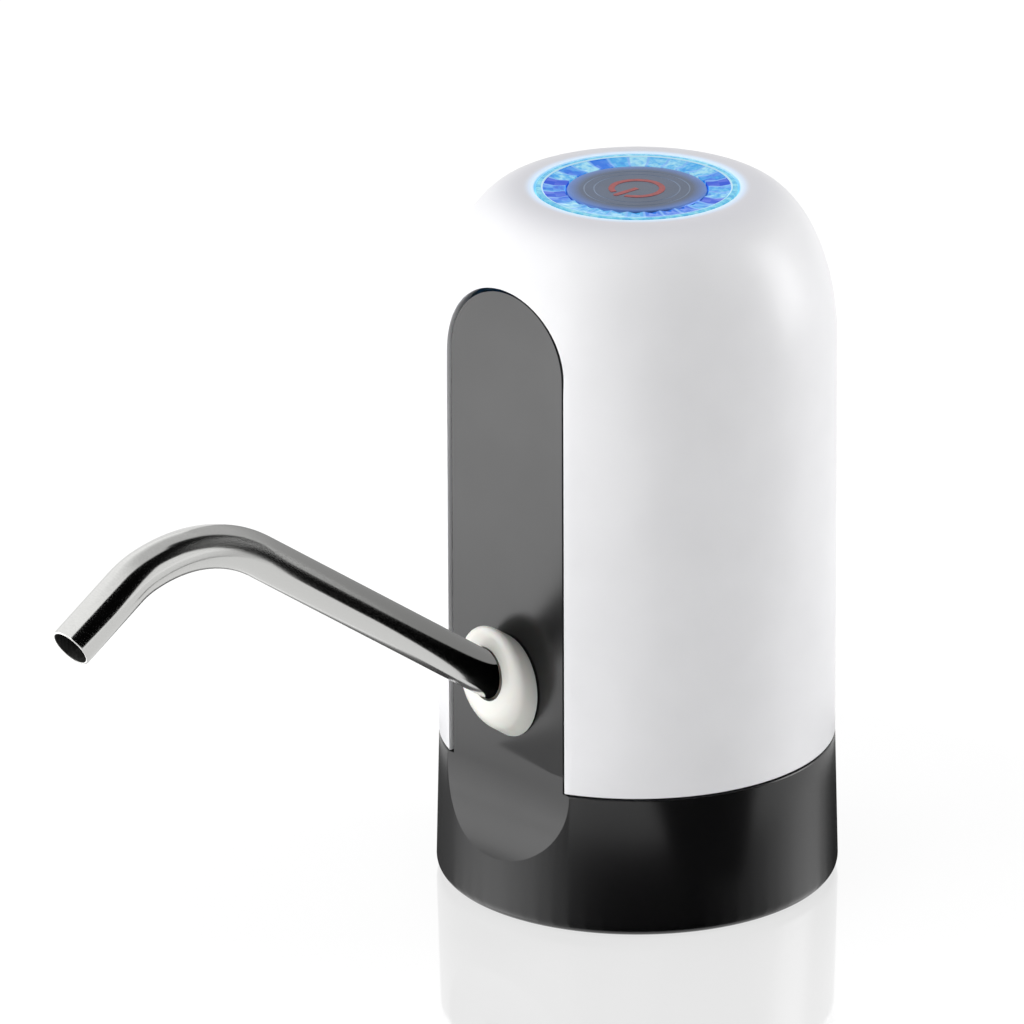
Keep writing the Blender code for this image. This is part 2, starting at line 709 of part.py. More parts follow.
def make_top_shell(body):
    """White outer shell: a domed cylinder with an arched front opening."""
    ledge = RING_BOTTOM - GAP
    under_ledge = ledge - LEDGE_THICKNESS
    inner_dome = [point for point in dome_outline(SHELL_WALL, INNER_DOME_STEPS) if point[1] < under_ledge]
    profile = [(SHELL_INNER, SEAM_HEIGHT), (BODY_RADIUS, SEAM_HEIGHT)]
    profile += dome_outline(0, DOME_STEPS)
    profile += [
        (RING_RADIUS + GAP, BODY_HEIGHT), (RING_RADIUS + GAP, ledge),
        (RING_SKIRT_OUTER + GAP, ledge), (RING_SKIRT_OUTER + GAP, under_ledge),
        (inner_dome_reach(under_ledge), under_ledge),
    ]
    profile += reversed(inner_dome)
    shell = piece("top_shell", spun(profile, BODY_STEPS), PLASTIC_WHITE, body)

    lug_low = DECK_TOP + GAP
    lug_places = places_round(SCREW_CIRCLE, SHELL_LUG_ANGLES)
    web_length = BODY_RADIUS - SHELL_WALL / 2 - SCREW_CIRCLE
    web_size = (web_length, LUG_WEB, LUG_HEIGHT - 2 * GAP)
    web_centre = (SCREW_CIRCLE + web_length / 2, 0, lug_low + LUG_HEIGHT / 2)
    for number, (place, angle) in enumerate(zip(lug_places, SHELL_LUG_ANGLES), start=1):
        lug = shifted(post(LUG_RADIUS, lug_low, lug_low + LUG_HEIGHT), place)
        web = placed(box(web_size, web_centre), Matrix.Rotation(angle, 4, "Z"))
        join(shell, helper(f"shell_lug_{number}", lug, body), helper(f"lug_web_{number}", web, body))
    pilots = at_each(lug_places, lambda: screw_pilot(lug_low))
    cut(shell, helper("shell_pilots", pilots, body))

    outline = opening_outline(0, SEAM_HEIGHT - OVERRUN)
    window = facing_front(prism(outline, PANEL_BACK - SHELL_WALL, BODY_RADIUS + OVERRUN))
    cut(shell, helper("front_opening", window, body))
    slot = facing_back(prism(port_outline(GAP), SHELL_INNER - SHELL_WALL, BODY_RADIUS + OVERRUN))
    cut(shell, helper("port_opening", shifted(slot, (0, 0, port_height())), body))
    return shell


def screw_pilot(low):
    """The hole up a lug or leg that a deck screw bites into."""
    return post(SCREW_SHANK + GAP, low - OVERRUN, SCREW_HEAD_TOP + SCREW_LENGTH + GAP)


def sunk_screw_hole(shank, head, head_top, low, high):
    """A cutter for a screw whose head sinks into a plate from below."""
    bottom = low - OVERRUN
    seat = head_top + GAP
    top = high + OVERRUN
    wide = head + GAP
    narrow = shank + GAP
    profile = [(0, bottom), (wide, bottom), (wide, seat), (narrow, seat), (narrow, top), (0, top)]
    return spun(profile, SMALL_STEPS)


def make_base_housing(body, spout_axis):
    """Dark base, deck and arched front panel in one moulding."""
    shoulder = SEAM_HEIGHT - GAP
    foot = (FOOT_RADIUS - BASE_ROUNDING, BASE_ROUNDING)
    profile = [(0, DISH_TOP), (DECK_DISH_RADIUS, DISH_TOP), (DECK_DISH_RADIUS, DECK_BOTTOM)]
    profile += [(SOCKET_RADIUS - SOCKET_CHAMFER, DECK_BOTTOM)]
    profile += [(SOCKET_RADIUS, DECK_BOTTOM - SOCKET_CHAMFER), (SOCKET_RADIUS, 0)]
    profile += arc(foot, BASE_ROUNDING, BASE_ROUNDING, -pi / 2, 0, BASE_ROUNDING_STEPS)
    profile += [(BODY_RADIUS, shoulder), (DECK_RADIUS, shoulder), (DECK_RADIUS, DECK_TOP), (0, DECK_TOP)]
    base = piece("base_housing", spun(profile, BODY_STEPS), PLASTIC_DARK, body)

    plate = prism(opening_outline(GAP, SEAM_HEIGHT - PANEL_ROOT), PANEL_BACK, PANEL_OUTWARD + OVERRUN)
    join(base, helper("panel_plate", facing_front(plate), body))
    bosses = facing_front(at_each(socket_boss_places(), socket_boss))
    join(base, helper("socket_bosses", bosses, body))
    inside_deck = DECK_TOP - DECK_THICKNESS / 2
    join(base, battery_cup(body, inside_deck))
    posts = at_each(charge_post_places(), lambda: staked_post(
        CHARGE_POST_RADIUS, inside_deck, CHARGE_BOARD_BOTTOM, CHARGE_BOARD_SIZE[2],
    ))
    join(base, helper("charge_posts", posts, body))

    cut(base, helper("front_scoop", across(prism(scoop_outline(), -BODY_RADIUS, BODY_RADIUS)), body))
    screw_places = places_round(SCREW_CIRCLE, SHELL_LUG_ANGLES + FRAME_LEG_ANGLES)
    holes = at_each(screw_places, lambda: sunk_screw_hole(
        SCREW_SHANK, SCREW_HEAD, SCREW_HEAD_TOP, DECK_BOTTOM, DECK_TOP,
    ))
    cut(base, helper("deck_screw_holes", holes, body))
    nipple_hole = hole(NIPPLE_NECK + GAP, DECK_BOTTOM, DECK_TOP, ROUND_STEPS)
    cut(base, helper("nipple_hole", nipple_hole, body, (0, INLET_Y, 0)))
    cut(base, helper("spout_passage", bar(NOSE_RADIUS + GAP, -SOCKET_END, 0), spout_axis))
    cut(base, helper("rim_pockets", gathered(rim_pockets()), body))
    return base


def battery_cup(body, low):
    """Round cup on the deck for the cell's foot, trimmed where it would reach the shell."""
    inner = BATTERY_RADIUS + GAP
    ring = tube(inner + CRADLE_WALL, inner, low, DECK_TOP + BATTERY_CUP_HEIGHT)
    cup = helper("battery_cup", shifted(ring, (BATTERY_X, 0, 0)), body)
    outside = tube(2 * BODY_RADIUS, DECK_RADIUS - GAP, 0, BODY_HEIGHT, BODY_STEPS)
    cut(cup, helper("cup_trim", outside, body))
    return cup


def scoop_outline():
    """What is cut away in front of the panel, and the hollow that runs out of its foot."""
    centre = (PANEL_OUTWARD + SCOOP_RADIUS, SEAM_HEIGHT)
    far = FOOT_RADIUS + OVERRUN
    hollow = arc(centre, SCOOP_RADIUS, SCOOP_RADIUS, pi, pi + SCOOP_TURN, SCOOP_STEPS)
    return [(PANEL_OUTWARD, OPENING_TOP)] + hollow + [(far, hollow[-1][1]), (far, OPENING_TOP)]


def rim_pockets():
    """Cored-out pockets in the base's rim, opened from below, with ribs left between them."""
    pockets = []
    first = pi / 2 - POCKET_PITCH * (POCKET_COUNT - 1) / 2
    for index in range(POCKET_COUNT):
        middle = first + POCKET_PITCH * index
        start = middle - POCKET_SPAN / 2
        end = middle + POCKET_SPAN / 2
        outline = arc((0, 0), POCKET_OUTER, POCKET_OUTER, start, end, POCKET_STEPS)
        outline += arc((0, 0), POCKET_INNER, POCKET_INNER, end, start, POCKET_STEPS)
        pockets.append(prism(outline, -OVERRUN, POCKET_DEPTH))
    return pockets


def make_neck_gasket(body):
    """Soft collar with lips that grips the bottle's neck."""
    outer = SOCKET_RADIUS - GAP
    inner = outer - GASKET_WALL
    lip = inner - GASKET_LIP
    top = GASKET_LOW + GASKET_HEIGHT
    profile = [(inner, GASKET_LOW), (outer, GASKET_LOW), (outer, top), (inner, top)]
    for number in range(GASKET_LIPS):
        height = top - GASKET_HEIGHT * (2 * number + 1) / (2 * GASKET_LIPS)
        profile += [(inner, height + GASKET_LIP_HALF), (lip, height), (inner, height - GASKET_LIP_HALF)]
    return piece("neck_gasket", spun(profile, WIDE_STEPS), SILICONE, body)


def make_inlet_nipple(body):
    """Barbed nipple through the deck, its nut, and the short hose up to the pump."""
    flange_top = DISH_TOP - GAP
    flange_low = flange_top - NIPPLE_FLANGE_HEIGHT
    tip = flange_low - NIPPLE_DROP
    barb_top = NIPPLE_BARB_ROOT + BARB_LENGTH
    profile = [(NIPPLE_BORE, tip), (NIPPLE_BARB, tip)]
    for ridge in range(NIPPLE_RIDGES):
        high = tip + NIPPLE_RIDGE_PITCH * (ridge + NIPPLE_RIDGE_SHARE)
        profile += [(NIPPLE_BARB + NIPPLE_RIDGE, high), (NIPPLE_BARB, high)]
    profile += [
        (NIPPLE_BARB, flange_low), (NIPPLE_FLANGE, flange_low), (NIPPLE_FLANGE, flange_top),
        (NIPPLE_NECK, flange_top), (NIPPLE_NECK, NIPPLE_BARB_ROOT), (BARB_RADIUS, NIPPLE_BARB_ROOT),
        (BARB_RADIUS, barb_top - BARB_TIP), (BARB_RADIUS - BARB_TIP, barb_top),
        (BARB_BORE, barb_top), (BARB_BORE, flange_top), (NIPPLE_BORE, flange_low),
    ]
    place = (0, INLET_Y, 0)
    piece("inlet_nipple", spun(profile, NIPPLE_STEPS), PLASTIC_INNER, body, place)

    corner = NUT_HALF_WIDTH / cos(pi / HEXAGON_STEPS)
    hexagon = closed_arc((0, 0), corner, corner, HEXAGON_STEPS)
    nut = piece("nipple_nut", prism(hexagon, NUT_BOTTOM, NUT_TOP), PLASTIC_INNER, body, place)
    cut(nut, helper("nut_bore", hole(NIPPLE_NECK + GAP, NUT_BOTTOM, NUT_TOP, ROUND_STEPS), body, place))
    hose = tube(HOSE_RADIUS, HOSE_BORE, NIPPLE_BARB_ROOT + GAP, PUMP_BOTTOM - GAP)
    piece("inlet_hose", hose, SILICONE, body, place)


def gear_outline():
    """Involute spur gear outline, thinned for backlash."""
    base = PITCH_RADIUS * cos(GEAR_PRESSURE)
    half_tooth = pi / (2 * GEAR_TEETH) - GEAR_BACKLASH / (2 * PITCH_RADIUS)
    rolled = half_tooth + tan(GEAR_PRESSURE) - GEAR_PRESSURE
    flank = [(GEAR_ROOT, rolled)]
    for step in range(GEAR_FLANK_STEPS + 1):
        radius = base + (GEAR_TIP - base) * step / GEAR_FLANK_STEPS
        slope = acos(min(1, base / radius))
        flank.append((radius, rolled - tan(slope) + slope))
    outline = []
    for tooth in range(GEAR_TEETH):
        middle = 2 * pi * tooth / GEAR_TEETH
        outline += [on_circle(radius, middle - half)[:2] for radius, half in flank]
        outline += [on_circle(radius, middle + half)[:2] for radius, half in reversed(flank)]
    return outline


def make_gear(name, body, side, bore):
    """One of the pump's two meshed gears; the idler is turned by half a tooth."""
    low = PUMP_BODY_BOTTOM + GAP
    high = low + GEAR_HEIGHT
    turn = 0 if side < 0 else pi / GEAR_TEETH + pi
    shape = placed(prism(gear_outline(), low, high), Matrix.Rotation(turn, 4, "Z"))
    place = (side * GEAR_X, PUMP_Y, 0)
    gear = piece(name, shape, GEAR_ACETAL, body, place)
    cut(gear, helper(name + "_bore", hole(bore, low, high), body, place))
    return gear


def pump_outline():
    """Outline shared by the pump's body, gasket and cover."""
    return rounded_outline(PUMP_HALF_X, PUMP_HALF_Y, PUMP_CORNER)


def pump_screw_places():
    """The four corner screws of the pump, round its own centre."""
    x = PUMP_HALF_X - PUMP_SCREW_INSET
    y = PUMP_HALF_Y - PUMP_SCREW_INSET
    return [(side_x * x, side_y * y, 0) for side_x in (-1, 1) for side_y in (-1, 1)]


def port_places():
    """The pump's outlet at the front and its inlet behind, round its own centre."""
    return [(0, side * PORT_OFFSET, 0) for side in (-1, 1)]


def pump_screw_holes(name, body, place, low, high):
    """Cutter for the pump's four corner screws through one of its layers."""
    holes = at_each(pump_screw_places(), lambda: hole(PUMP_SCREW_SHANK + GAP, low, high))
    return helper(name, holes, body, place)


def cavity_tools(prefix, body, place, low, high):
    """Cutters for the two gear chambers and the two port pockets."""
    chambers = [shifted(bar(CAVITY_RADIUS, low, high), (side * GEAR_X, 0, 0)) for side in (-1, 1)]
    pockets = [shifted(post(PORT_POCKET, low, high), spot) for spot in port_places()]
    shapes = enumerate(chambers + pockets, start=1)
    return [helper(f"{prefix}_cavity_{number}", shape, body, place) for number, shape in shapes]


def make_pump(body):
    """Gear pump: body, gasket and cover, with its gears, pin, shaft, seal and screws."""
    place = (0, PUMP_Y, 0)
    drive = (-GEAR_X, PUMP_Y, 0)
    idler = (GEAR_X, PUMP_Y, 0)
    make_pump_body(body, place)
    make_pump_gasket(body, place)
    make_pump_cover(body, place)
    length = SHELF_TOP - PUMP_BOTTOM - GAP
    for number, (x, y, _) in enumerate(pump_screw_places(), start=1):
        shape = screw(PUMP_SCREW_SHANK, PUMP_SCREW_HEAD, PUMP_SCREW_HEAD_HEIGHT, length)
        piece(f"pump_screw_{number}", shape, ZINC_STEEL, body, (x, y + PUMP_Y, PUMP_BOTTOM - GAP))

    make_gear("drive_gear", body, -1, SHAFT_RADIUS + SHAFT_FIT)
    make_gear("idler_gear", body, 1, SHAFT_RADIUS + GAP)
    shaft = post(SHAFT_RADIUS, PUMP_BODY_BOTTOM + GAP, MOTOR_BOTTOM + SHAFT_IN_MOTOR)
    piece("motor_shaft", shaft, STAINLESS, body, drive)
    pin = post(SHAFT_RADIUS, PUMP_COVER_TOP + GAP, CAVITY_TOP + PIN_IN_ROOF)
    piece("idler_pin", pin, STAINLESS, body, idler)
    seal_low = PUMP_TOP - SEAL_HEIGHT - GAP
    seal = tube(SEAL_RADIUS, SHAFT_RADIUS + GAP, seal_low, seal_low + SEAL_HEIGHT, SMALL_STEPS)
    piece("shaft_seal", seal, SEAL_RUBBER, body, drive)


def make_pump_body(body, place):
    """The block that the gears turn in, open below and bored for shaft, pin and screws."""
    block = prism(pump_outline(), PUMP_BODY_BOTTOM, PUMP_TOP)
    pump = piece("pump_body", block, PLASTIC_PUMP, body, place)
    cut(pump, *cavity_tools("body", body, place, PUMP_BODY_BOTTOM - OVERRUN, CAVITY_TOP))
    shaft_bore = hole(SHAFT_RADIUS + GAP, CAVITY_TOP, PUMP_TOP)
    pin_bore = post(SHAFT_RADIUS + SHAFT_FIT, CAVITY_TOP - OVERRUN, CAVITY_TOP + PIN_IN_ROOF + GAP)
    bores = gathered([shifted(shaft_bore, (-GEAR_X, 0, 0)), shifted(pin_bore, (GEAR_X, 0, 0))])
    cut(pump, helper("gear_bores", bores, body, place))
    cut(pump, pump_screw_holes("body_screw_holes", body, place, PUMP_BODY_BOTTOM, PUMP_TOP))
    pocket = bar(SEAL_RADIUS + GAP, PUMP_TOP - SEAL_HEIGHT - 2 * GAP, PUMP_TOP + OVERRUN)
    cut(pump, helper("seal_pocket", shifted(pocket, (-GEAR_X, 0, 0)), body, place))


def make_pump_gasket(body, place):
    """Thin gasket that repeats the pump's chambers and screw holes."""
    low = PUMP_GASKET_LOW
    high = low + PUMP_GASKET_HEIGHT
    gasket = piece("pump_gasket", prism(pump_outline(), low, high), SILICONE, body, place)
    cut(gasket, *cavity_tools("gasket", body, place, low - OVERRUN, high + OVERRUN))
    cut(gasket, pump_screw_holes("gasket_screw_holes", body, place, low, high))


def make_pump_cover(body, place):
    """Cover under the pump with the inlet and outlet barbs."""
    cover = piece("pump_cover", prism(pump_outline(), PUMP_BOTTOM, PUMP_COVER_TOP), PLASTIC_PUMP, body, place)
    tip = PUMP_BOTTOM - BARB_LENGTH
    root = PUMP_COVER_TOP - PUMP_COVER_HEIGHT / 2
    barb = [(0, tip), (BARB_RADIUS - BARB_TIP, tip), (BARB_RADIUS, tip + BARB_TIP)]
    barb += [(BARB_RADIUS, root), (0, root)]
    join(cover, helper("cover_barbs", at_each(port_places(), lambda: spun(barb)), body, place))
    cut(cover, pump_screw_holes("cover_screw_holes", body, place, PUMP_BOTTOM, PUMP_COVER_TOP))
    bores = at_each(port_places(), lambda: hole(BARB_BORE, tip, PUMP_COVER_TOP))
    cut(cover, helper("cover_bores", bores, body, place))


def motor_screw_places():
    """The two screws that hold the motor, round the motor's own axis."""
    return [(0, side * MOTOR_SCREW_OFFSET, 0) for side in (-1, 1)]


def make_motor(body):
    """Motor can with its end cap, terminals, screws and soft ring."""
    place = (-GEAR_X, PUMP_Y, 0)
    boss_low = MOTOR_BOTTOM - MOTOR_BOSS_HEIGHT
    bore_top = MOTOR_BOTTOM + SHAFT_IN_MOTOR + GAP
    profile = [
        (0, bore_top), (MOTOR_BORE, bore_top), (MOTOR_BORE, boss_low), (MOTOR_BOSS_RADIUS, boss_low),
        (MOTOR_BOSS_RADIUS, MOTOR_BOTTOM), (MOTOR_RADIUS - MOTOR_ROUNDING, MOTOR_BOTTOM),
        (MOTOR_RADIUS, MOTOR_BOTTOM + MOTOR_ROUNDING), (MOTOR_RADIUS, MOTOR_TOP), (0, MOTOR_TOP),
    ]
    can = piece("motor_can", spun(profile, WIDE_STEPS), SATIN_STEEL, body, place)
    head_top = MOTOR_SCREW_HEAD_TOP
    length = MOTOR_BOTTOM + MOTOR_SCREW_DEPTH - GAP - head_top
    for number, (_, y, _) in enumerate(motor_screw_places(), start=1):
        shape = screw(PUMP_SCREW_SHANK, PUMP_SCREW_HEAD, PUMP_SCREW_HEAD_HEIGHT, length)
        piece(f"motor_screw_{number}", shape, ZINC_STEEL, body, (place[0], place[1] + y, head_top))
    hole_top = MOTOR_BOTTOM + MOTOR_SCREW_DEPTH
    holes = at_each(motor_screw_places(), lambda: post(PUMP_SCREW_SHANK + GAP, boss_low, hole_top))
    cut(can, helper("motor_holes", holes, body, place))

    cap_low = MOTOR_TOP + GAP
    cap_top = cap_low + ENDCAP_HEIGHT
    cap = piece("motor_endcap", bar(MOTOR_RADIUS - ENDCAP_INSET, cap_low, cap_top), PLASTIC_PUMP, body, place)
    width, depth, height = TERMINAL_SIZE
    blade_size = (width, depth, height + ENDCAP_HEIGHT / 2)
    blade_places = [(side * TERMINAL_OFFSET, 0, cap_top + height / 2 - ENDCAP_HEIGHT / 4) for side in (-1, 1)]
    join(cap, helper("motor_blades", at_each(blade_places, lambda: box(blade_size)), body, place))
    damper_inner = MOTOR_RADIUS + GAP
    damper_low = SHELF_TOP + GAP
    damper = tube(damper_inner + DAMPER_WALL, damper_inner, damper_low, damper_low + MOTOR_CRADLE_HEIGHT)
    piece("motor_damper", damper, SEAL_RUBBER, body, place)


def make_inner_frame(body):
    """Shelf on three legs that holds pump, motor and battery, with three posts for the board."""
    drive = (-GEAR_X, PUMP_Y, 0)
    battery = (BATTERY_X, 0, 0)
    shelf = bar(SHELF_RADIUS, SHELF_BOTTOM, SHELF_TOP, WIDE_STEPS)
    frame = piece("inner_frame", shelf, PLASTIC_INNER, body)
    inside_shelf = SHELF_BOTTOM + SHELF_THICKNESS / 2

    motor_hold = MOTOR_RADIUS + 2 * GAP + DAMPER_WALL
    battery_hold = BATTERY_RADIUS + GAP
    room = hole(battery_hold + CRADLE_WALL / 2, SHELF_BOTTOM, SHELF_TOP, ROUND_STEPS)
    cut(frame, helper("battery_room", room, body, battery))
    motor_ring = tube(motor_hold + CRADLE_WALL, motor_hold, inside_shelf, SHELF_TOP + MOTOR_CRADLE_HEIGHT)
    battery_top = SHELF_TOP + BATTERY_CRADLE_HEIGHT
    battery_ring = tube(battery_hold + CRADLE_WALL, battery_hold, inside_shelf, battery_top)
    join(frame, helper("motor_cradle", motor_ring, body, drive))
    join(frame, helper("battery_cradle", battery_ring, body, battery))
    leg_low = DECK_TOP + GAP
    leg_places = places_round(SCREW_CIRCLE, FRAME_LEG_ANGLES)
    legs = at_each(leg_places, lambda: post(LEG_RADIUS, leg_low, inside_shelf))
    posts = at_each(places_round(POST_CIRCLE, POST_ANGLES), lambda: staked_post(
        POST_RADIUS, inside_shelf, BOARD_BOTTOM, BOARD_THICKNESS,
    ))
    join(frame, helper("frame_legs", legs, body), helper("frame_posts", posts, body))

    notch_height = battery_top - SHELF_BOTTOM + 2 * OVERRUN
    notch = box(
        (2 * BATTERY_RADIUS, BATTERY_NOTCH_WIDTH, notch_height),
        (BATTERY_X + BATTERY_RADIUS, 0, SHELF_BOTTOM - OVERRUN + notch_height / 2),
    )
    cut(frame, helper("battery_notch", notch, body))
    front_room = PANEL_BACK - GAP - SHELL_WALL
    trim_length = BODY_RADIUS - front_room
    trim_height = SHELF_THICKNESS + 2 * OVERRUN
    trim = box((2 * BODY_RADIUS, trim_length, trim_height), (0, -front_room - trim_length / 2, inside_shelf))
    cut(frame, helper("front_trim", trim, body))
    window = box((*WIRE_WINDOW, trim_height), (0, WIRE_WINDOW_Y, inside_shelf))
    cut(frame, helper("wire_window", window, body))

    cut(frame, helper("boss_hole", hole(MOTOR_BOSS_RADIUS + GAP, SHELF_BOTTOM, SHELF_TOP), body, drive))
    sunk_holes = at_each(motor_screw_places(), lambda: sunk_screw_hole(
        PUMP_SCREW_SHANK, PUMP_SCREW_HEAD, MOTOR_SCREW_HEAD_TOP, SHELF_BOTTOM, SHELF_TOP,
    ))
    cut(frame, helper("motor_screw_holes", sunk_holes, body, drive))
    cut(frame, pump_screw_holes("shelf_screw_holes", body, (0, PUMP_Y, 0), SHELF_BOTTOM, SHELF_TOP))
    pilots = at_each(leg_places, lambda: screw_pilot(leg_low))
    cut(frame, helper("frame_pilots", pilots, body))


def make_deck_screws(body):
    """Screws under the deck that hold the shell and the inner frame."""
    for name, angles in (("housing_screw", SHELL_LUG_ANGLES), ("frame_screw", FRAME_LEG_ANGLES)):
        for number, place in enumerate(places_round(SCREW_CIRCLE, angles, SCREW_HEAD_TOP), start=1):
            shape = screw(SCREW_SHANK, SCREW_HEAD, SCREW_HEAD_HEIGHT, SCREW_LENGTH)
            piece(f"{name}_{number}", shape, ZINC_STEEL, body, place)


def make_battery(body):
    """Round rechargeable cell on its pad, with its tab."""
    place = (BATTERY_X, 0, 0)
    crown = BATTERY_TOP - BATTERY_CAP_HEIGHT
    edge = BATTERY_RADIUS - BATTERY_ROUNDING
    profile = [
        (0, BATTERY_BOTTOM), (edge, BATTERY_BOTTOM), (BATTERY_RADIUS, BATTERY_BOTTOM + BATTERY_ROUNDING),
        (BATTERY_RADIUS, crown - BATTERY_ROUNDING), (edge, crown), (BATTERY_CAP_RADIUS, crown),
        (BATTERY_CAP_RADIUS, BATTERY_TOP), (0, BATTERY_TOP),
    ]
    piece("battery_cell", spun(profile), CELL_WRAP, body, place)
    pad_low = DECK_TOP + GAP
    pad = bar(BATTERY_RADIUS, pad_low, pad_low + BATTERY_PAD_HEIGHT)
    piece("battery_pad", pad, SEAL_RUBBER, body, place)
    tab = box(TAB_SIZE, (0, 0, BATTERY_TOP + GAP + TAB_SIZE[2] / 2))
    piece("battery_tab", tab, ZINC_STEEL, body, place)


def make_control_board(body):
    """Round board under the button with its lamps, chips and push switch."""
    board = piece("control_board", bar(BOARD_RADIUS, BOARD_BOTTOM, BOARD_TOP, WIDE_STEPS), BOARD_GREEN, body)
    post_places = places_round(POST_CIRCLE, POST_ANGLES)
    holes = at_each(post_places, lambda: hole(STAKE_RADIUS + GAP, BOARD_BOTTOM, BOARD_TOP))
    cut(board, helper("board_holes", holes, body))

    strip_low = BOARD_TOP + GAP
    strip_top = strip_low + LAMP_STRIP_HEIGHT
    half_width = LAMP_STRIP_WIDTH / 2
    strip = tube(LAMP_CIRCLE + half_width, LAMP_CIRCLE - half_width, strip_low, strip_top)
    lamp_strip = piece("lamp_ring", strip, LAMP_BLUE, body)
    lamps = []
    for index in range(LAMP_COUNT):
        lamp = box(LAMP_SIZE, (LAMP_CIRCLE, 0, strip_top - LAMP_STRIP_HEIGHT / 2 + LAMP_SIZE[2] / 2))
        turn = 2 * pi * index / LAMP_COUNT + pi / LAMP_COUNT
        lamps.append(placed(lamp, Matrix.Rotation(turn, 4, "Z")))
    join(lamp_strip, helper("lamps", gathered(lamps), body))

    for name, (width, depth, height), angle in CHIPS:
        centre = on_circle(CHIP_CIRCLE, angle, BOARD_TOP + GAP + height / 2)
        piece(name, box((width, depth, height), centre), CHIP_BLACK, body)

    switch_box = box(SWITCH_SIZE, (0, 0, SWITCH_BOTTOM + SWITCH_SIZE[2] / 2))
    switch = piece("switch_body", switch_box, CHIP_BLACK, body)
    well = post(PLUNGER_RADIUS + GAP, SWITCH_TOP - SWITCH_WELL, SWITCH_TOP + OVERRUN)
    cut(switch, helper("switch_well", well, body))
    plunger = post(PLUNGER_RADIUS, SWITCH_TOP - PLUNGER_SUNK, PLUNGER_TOP)
    piece("switch_plunger", plunger, CHIP_BLACK, body)


def make_light_ring(body):
    """Clear faceted ring that carries the lamps' light up round the button."""
    band = RING_RADIUS - RING_BAND
    skirt_low = RING_BOTTOM - RING_SKIRT_DROP
    facet_high = BODY_HEIGHT - BUTTON_RECESS
    facet_low = BODY_HEIGHT - RING_FACET_DROP
    profile = [
        (RING_RADIUS, RING_BOTTOM), (RING_RADIUS, BODY_HEIGHT - RING_BEVEL),
        (RING_RADIUS - RING_BEVEL, BODY_HEIGHT), (band, BODY_HEIGHT),
        (RING_INNER, facet_high), (RING_INNER, RING_BOTTOM), (RING_SKIRT_INNER, RING_BOTTOM),
        (RING_SKIRT_INNER, skirt_low), (RING_SKIRT_OUTER, skirt_low), (RING_SKIRT_OUTER, RING_BOTTOM),
    ]
    shape = spun(profile, RING_STEPS)
    for vertex in shape.verts:
        angle = vertex.co.xy.angle_signed(Vector((1, 0)))
        step = round(angle / (2 * pi) * RING_STEPS)
        inner_rim = abs(vertex.co.xy.length - RING_INNER) < GAP and vertex.co.z > facet_low
        if inner_rim and step % 2:
            vertex.co.z = facet_low
    return piece("light_ring", shape, RING_CLEAR, body)


def make_power_button(body):
    """Round metal-faced button on a stem that reaches the switch."""
    flange_top = RING_BOTTOM - GAP
    flange_low = flange_top - BUTTON_FLANGE_HEIGHT
    flange = BUTTON_RADIUS + BUTTON_FLANGE
    inside = BUTTON_RADIUS - BUTTON_SKIRT
    under_plate = BUTTON_TOP - BUTTON_PLATE
    stem_low = PLUNGER_TOP + GAP
    profile = [
        (0, BUTTON_TOP), (BUTTON_RADIUS - BUTTON_ROUNDING, BUTTON_TOP),
        (BUTTON_RADIUS, BUTTON_TOP - BUTTON_ROUNDING), (BUTTON_RADIUS, flange_top),
        (flange, flange_top), (flange, flange_low), (inside, flange_low), (inside, under_plate),
        (BUTTON_STEM, under_plate), (BUTTON_STEM, stem_low), (0, stem_low),
    ]
    return piece("power_button", spun(profile, BUTTON_STEPS), BUTTON_METAL, body)


def charge_post_places():
    """The two posts that hold the charging board."""
    return [(side * CHARGE_POST_X, CHARGE_POST_Y, 0) for side in (-1, 1)]


def make_charging_port(body):
    """Charging board on two posts, with the port that shows at the back."""
    width, depth, thickness = CHARGE_BOARD_SIZE
    board_top = CHARGE_BOARD_BOTTOM + thickness
    centre = (0, CHARGE_BOARD_BACK - depth / 2, CHARGE_BOARD_BOTTOM + thickness / 2)
    board = piece("charge_board", box((width, depth, thickness), centre), BOARD_GREEN, body)
    holes = at_each(charge_post_places(), lambda: hole(STAKE_RADIUS + GAP, CHARGE_BOARD_BOTTOM, board_top))
    cut(board, helper("charge_board_holes", holes, body))

    mouth = BODY_RADIUS - PORT_SUNK
    back = mouth - PORT_SIZE[1]
    inner_back = back + 2 * PORT_METAL
    place = (0, 0, port_height())
    outside = facing_back(prism(port_outline(0), back, mouth))
    receptacle = piece("usb_receptacle", outside, SATIN_STEEL, body, place)
    hollow = facing_back(prism(port_outline(-PORT_METAL), inner_back, mouth + OVERRUN))
    cut(receptacle, helper("port_hollow", hollow, body, place))
    tongue = box(TONGUE_SIZE, (0, inner_back + GAP + TONGUE_SIZE[1] / 2, 0))
    piece("usb_tongue", tongue, CHIP_BLACK, body, place)


def panel_centre():
    """Height at which the spout's axis passes behind the panel."""
    return COLLAR_AXIS_HEIGHT - (COLLAR_OUTWARD - SOCKET_FLANGE_FRONT) * tan(SPOUT_RISE)


def socket_boss_places():
    """The four bosses that hold the outlet socket, as (x, height) on the panel."""
    heights = [panel_centre() + side * SOCKET_BOSS_Z for side in (-1, 1)]
    return [(side * SOCKET_BOSS_X, height, 0) for side in (-1, 1) for height in heights]


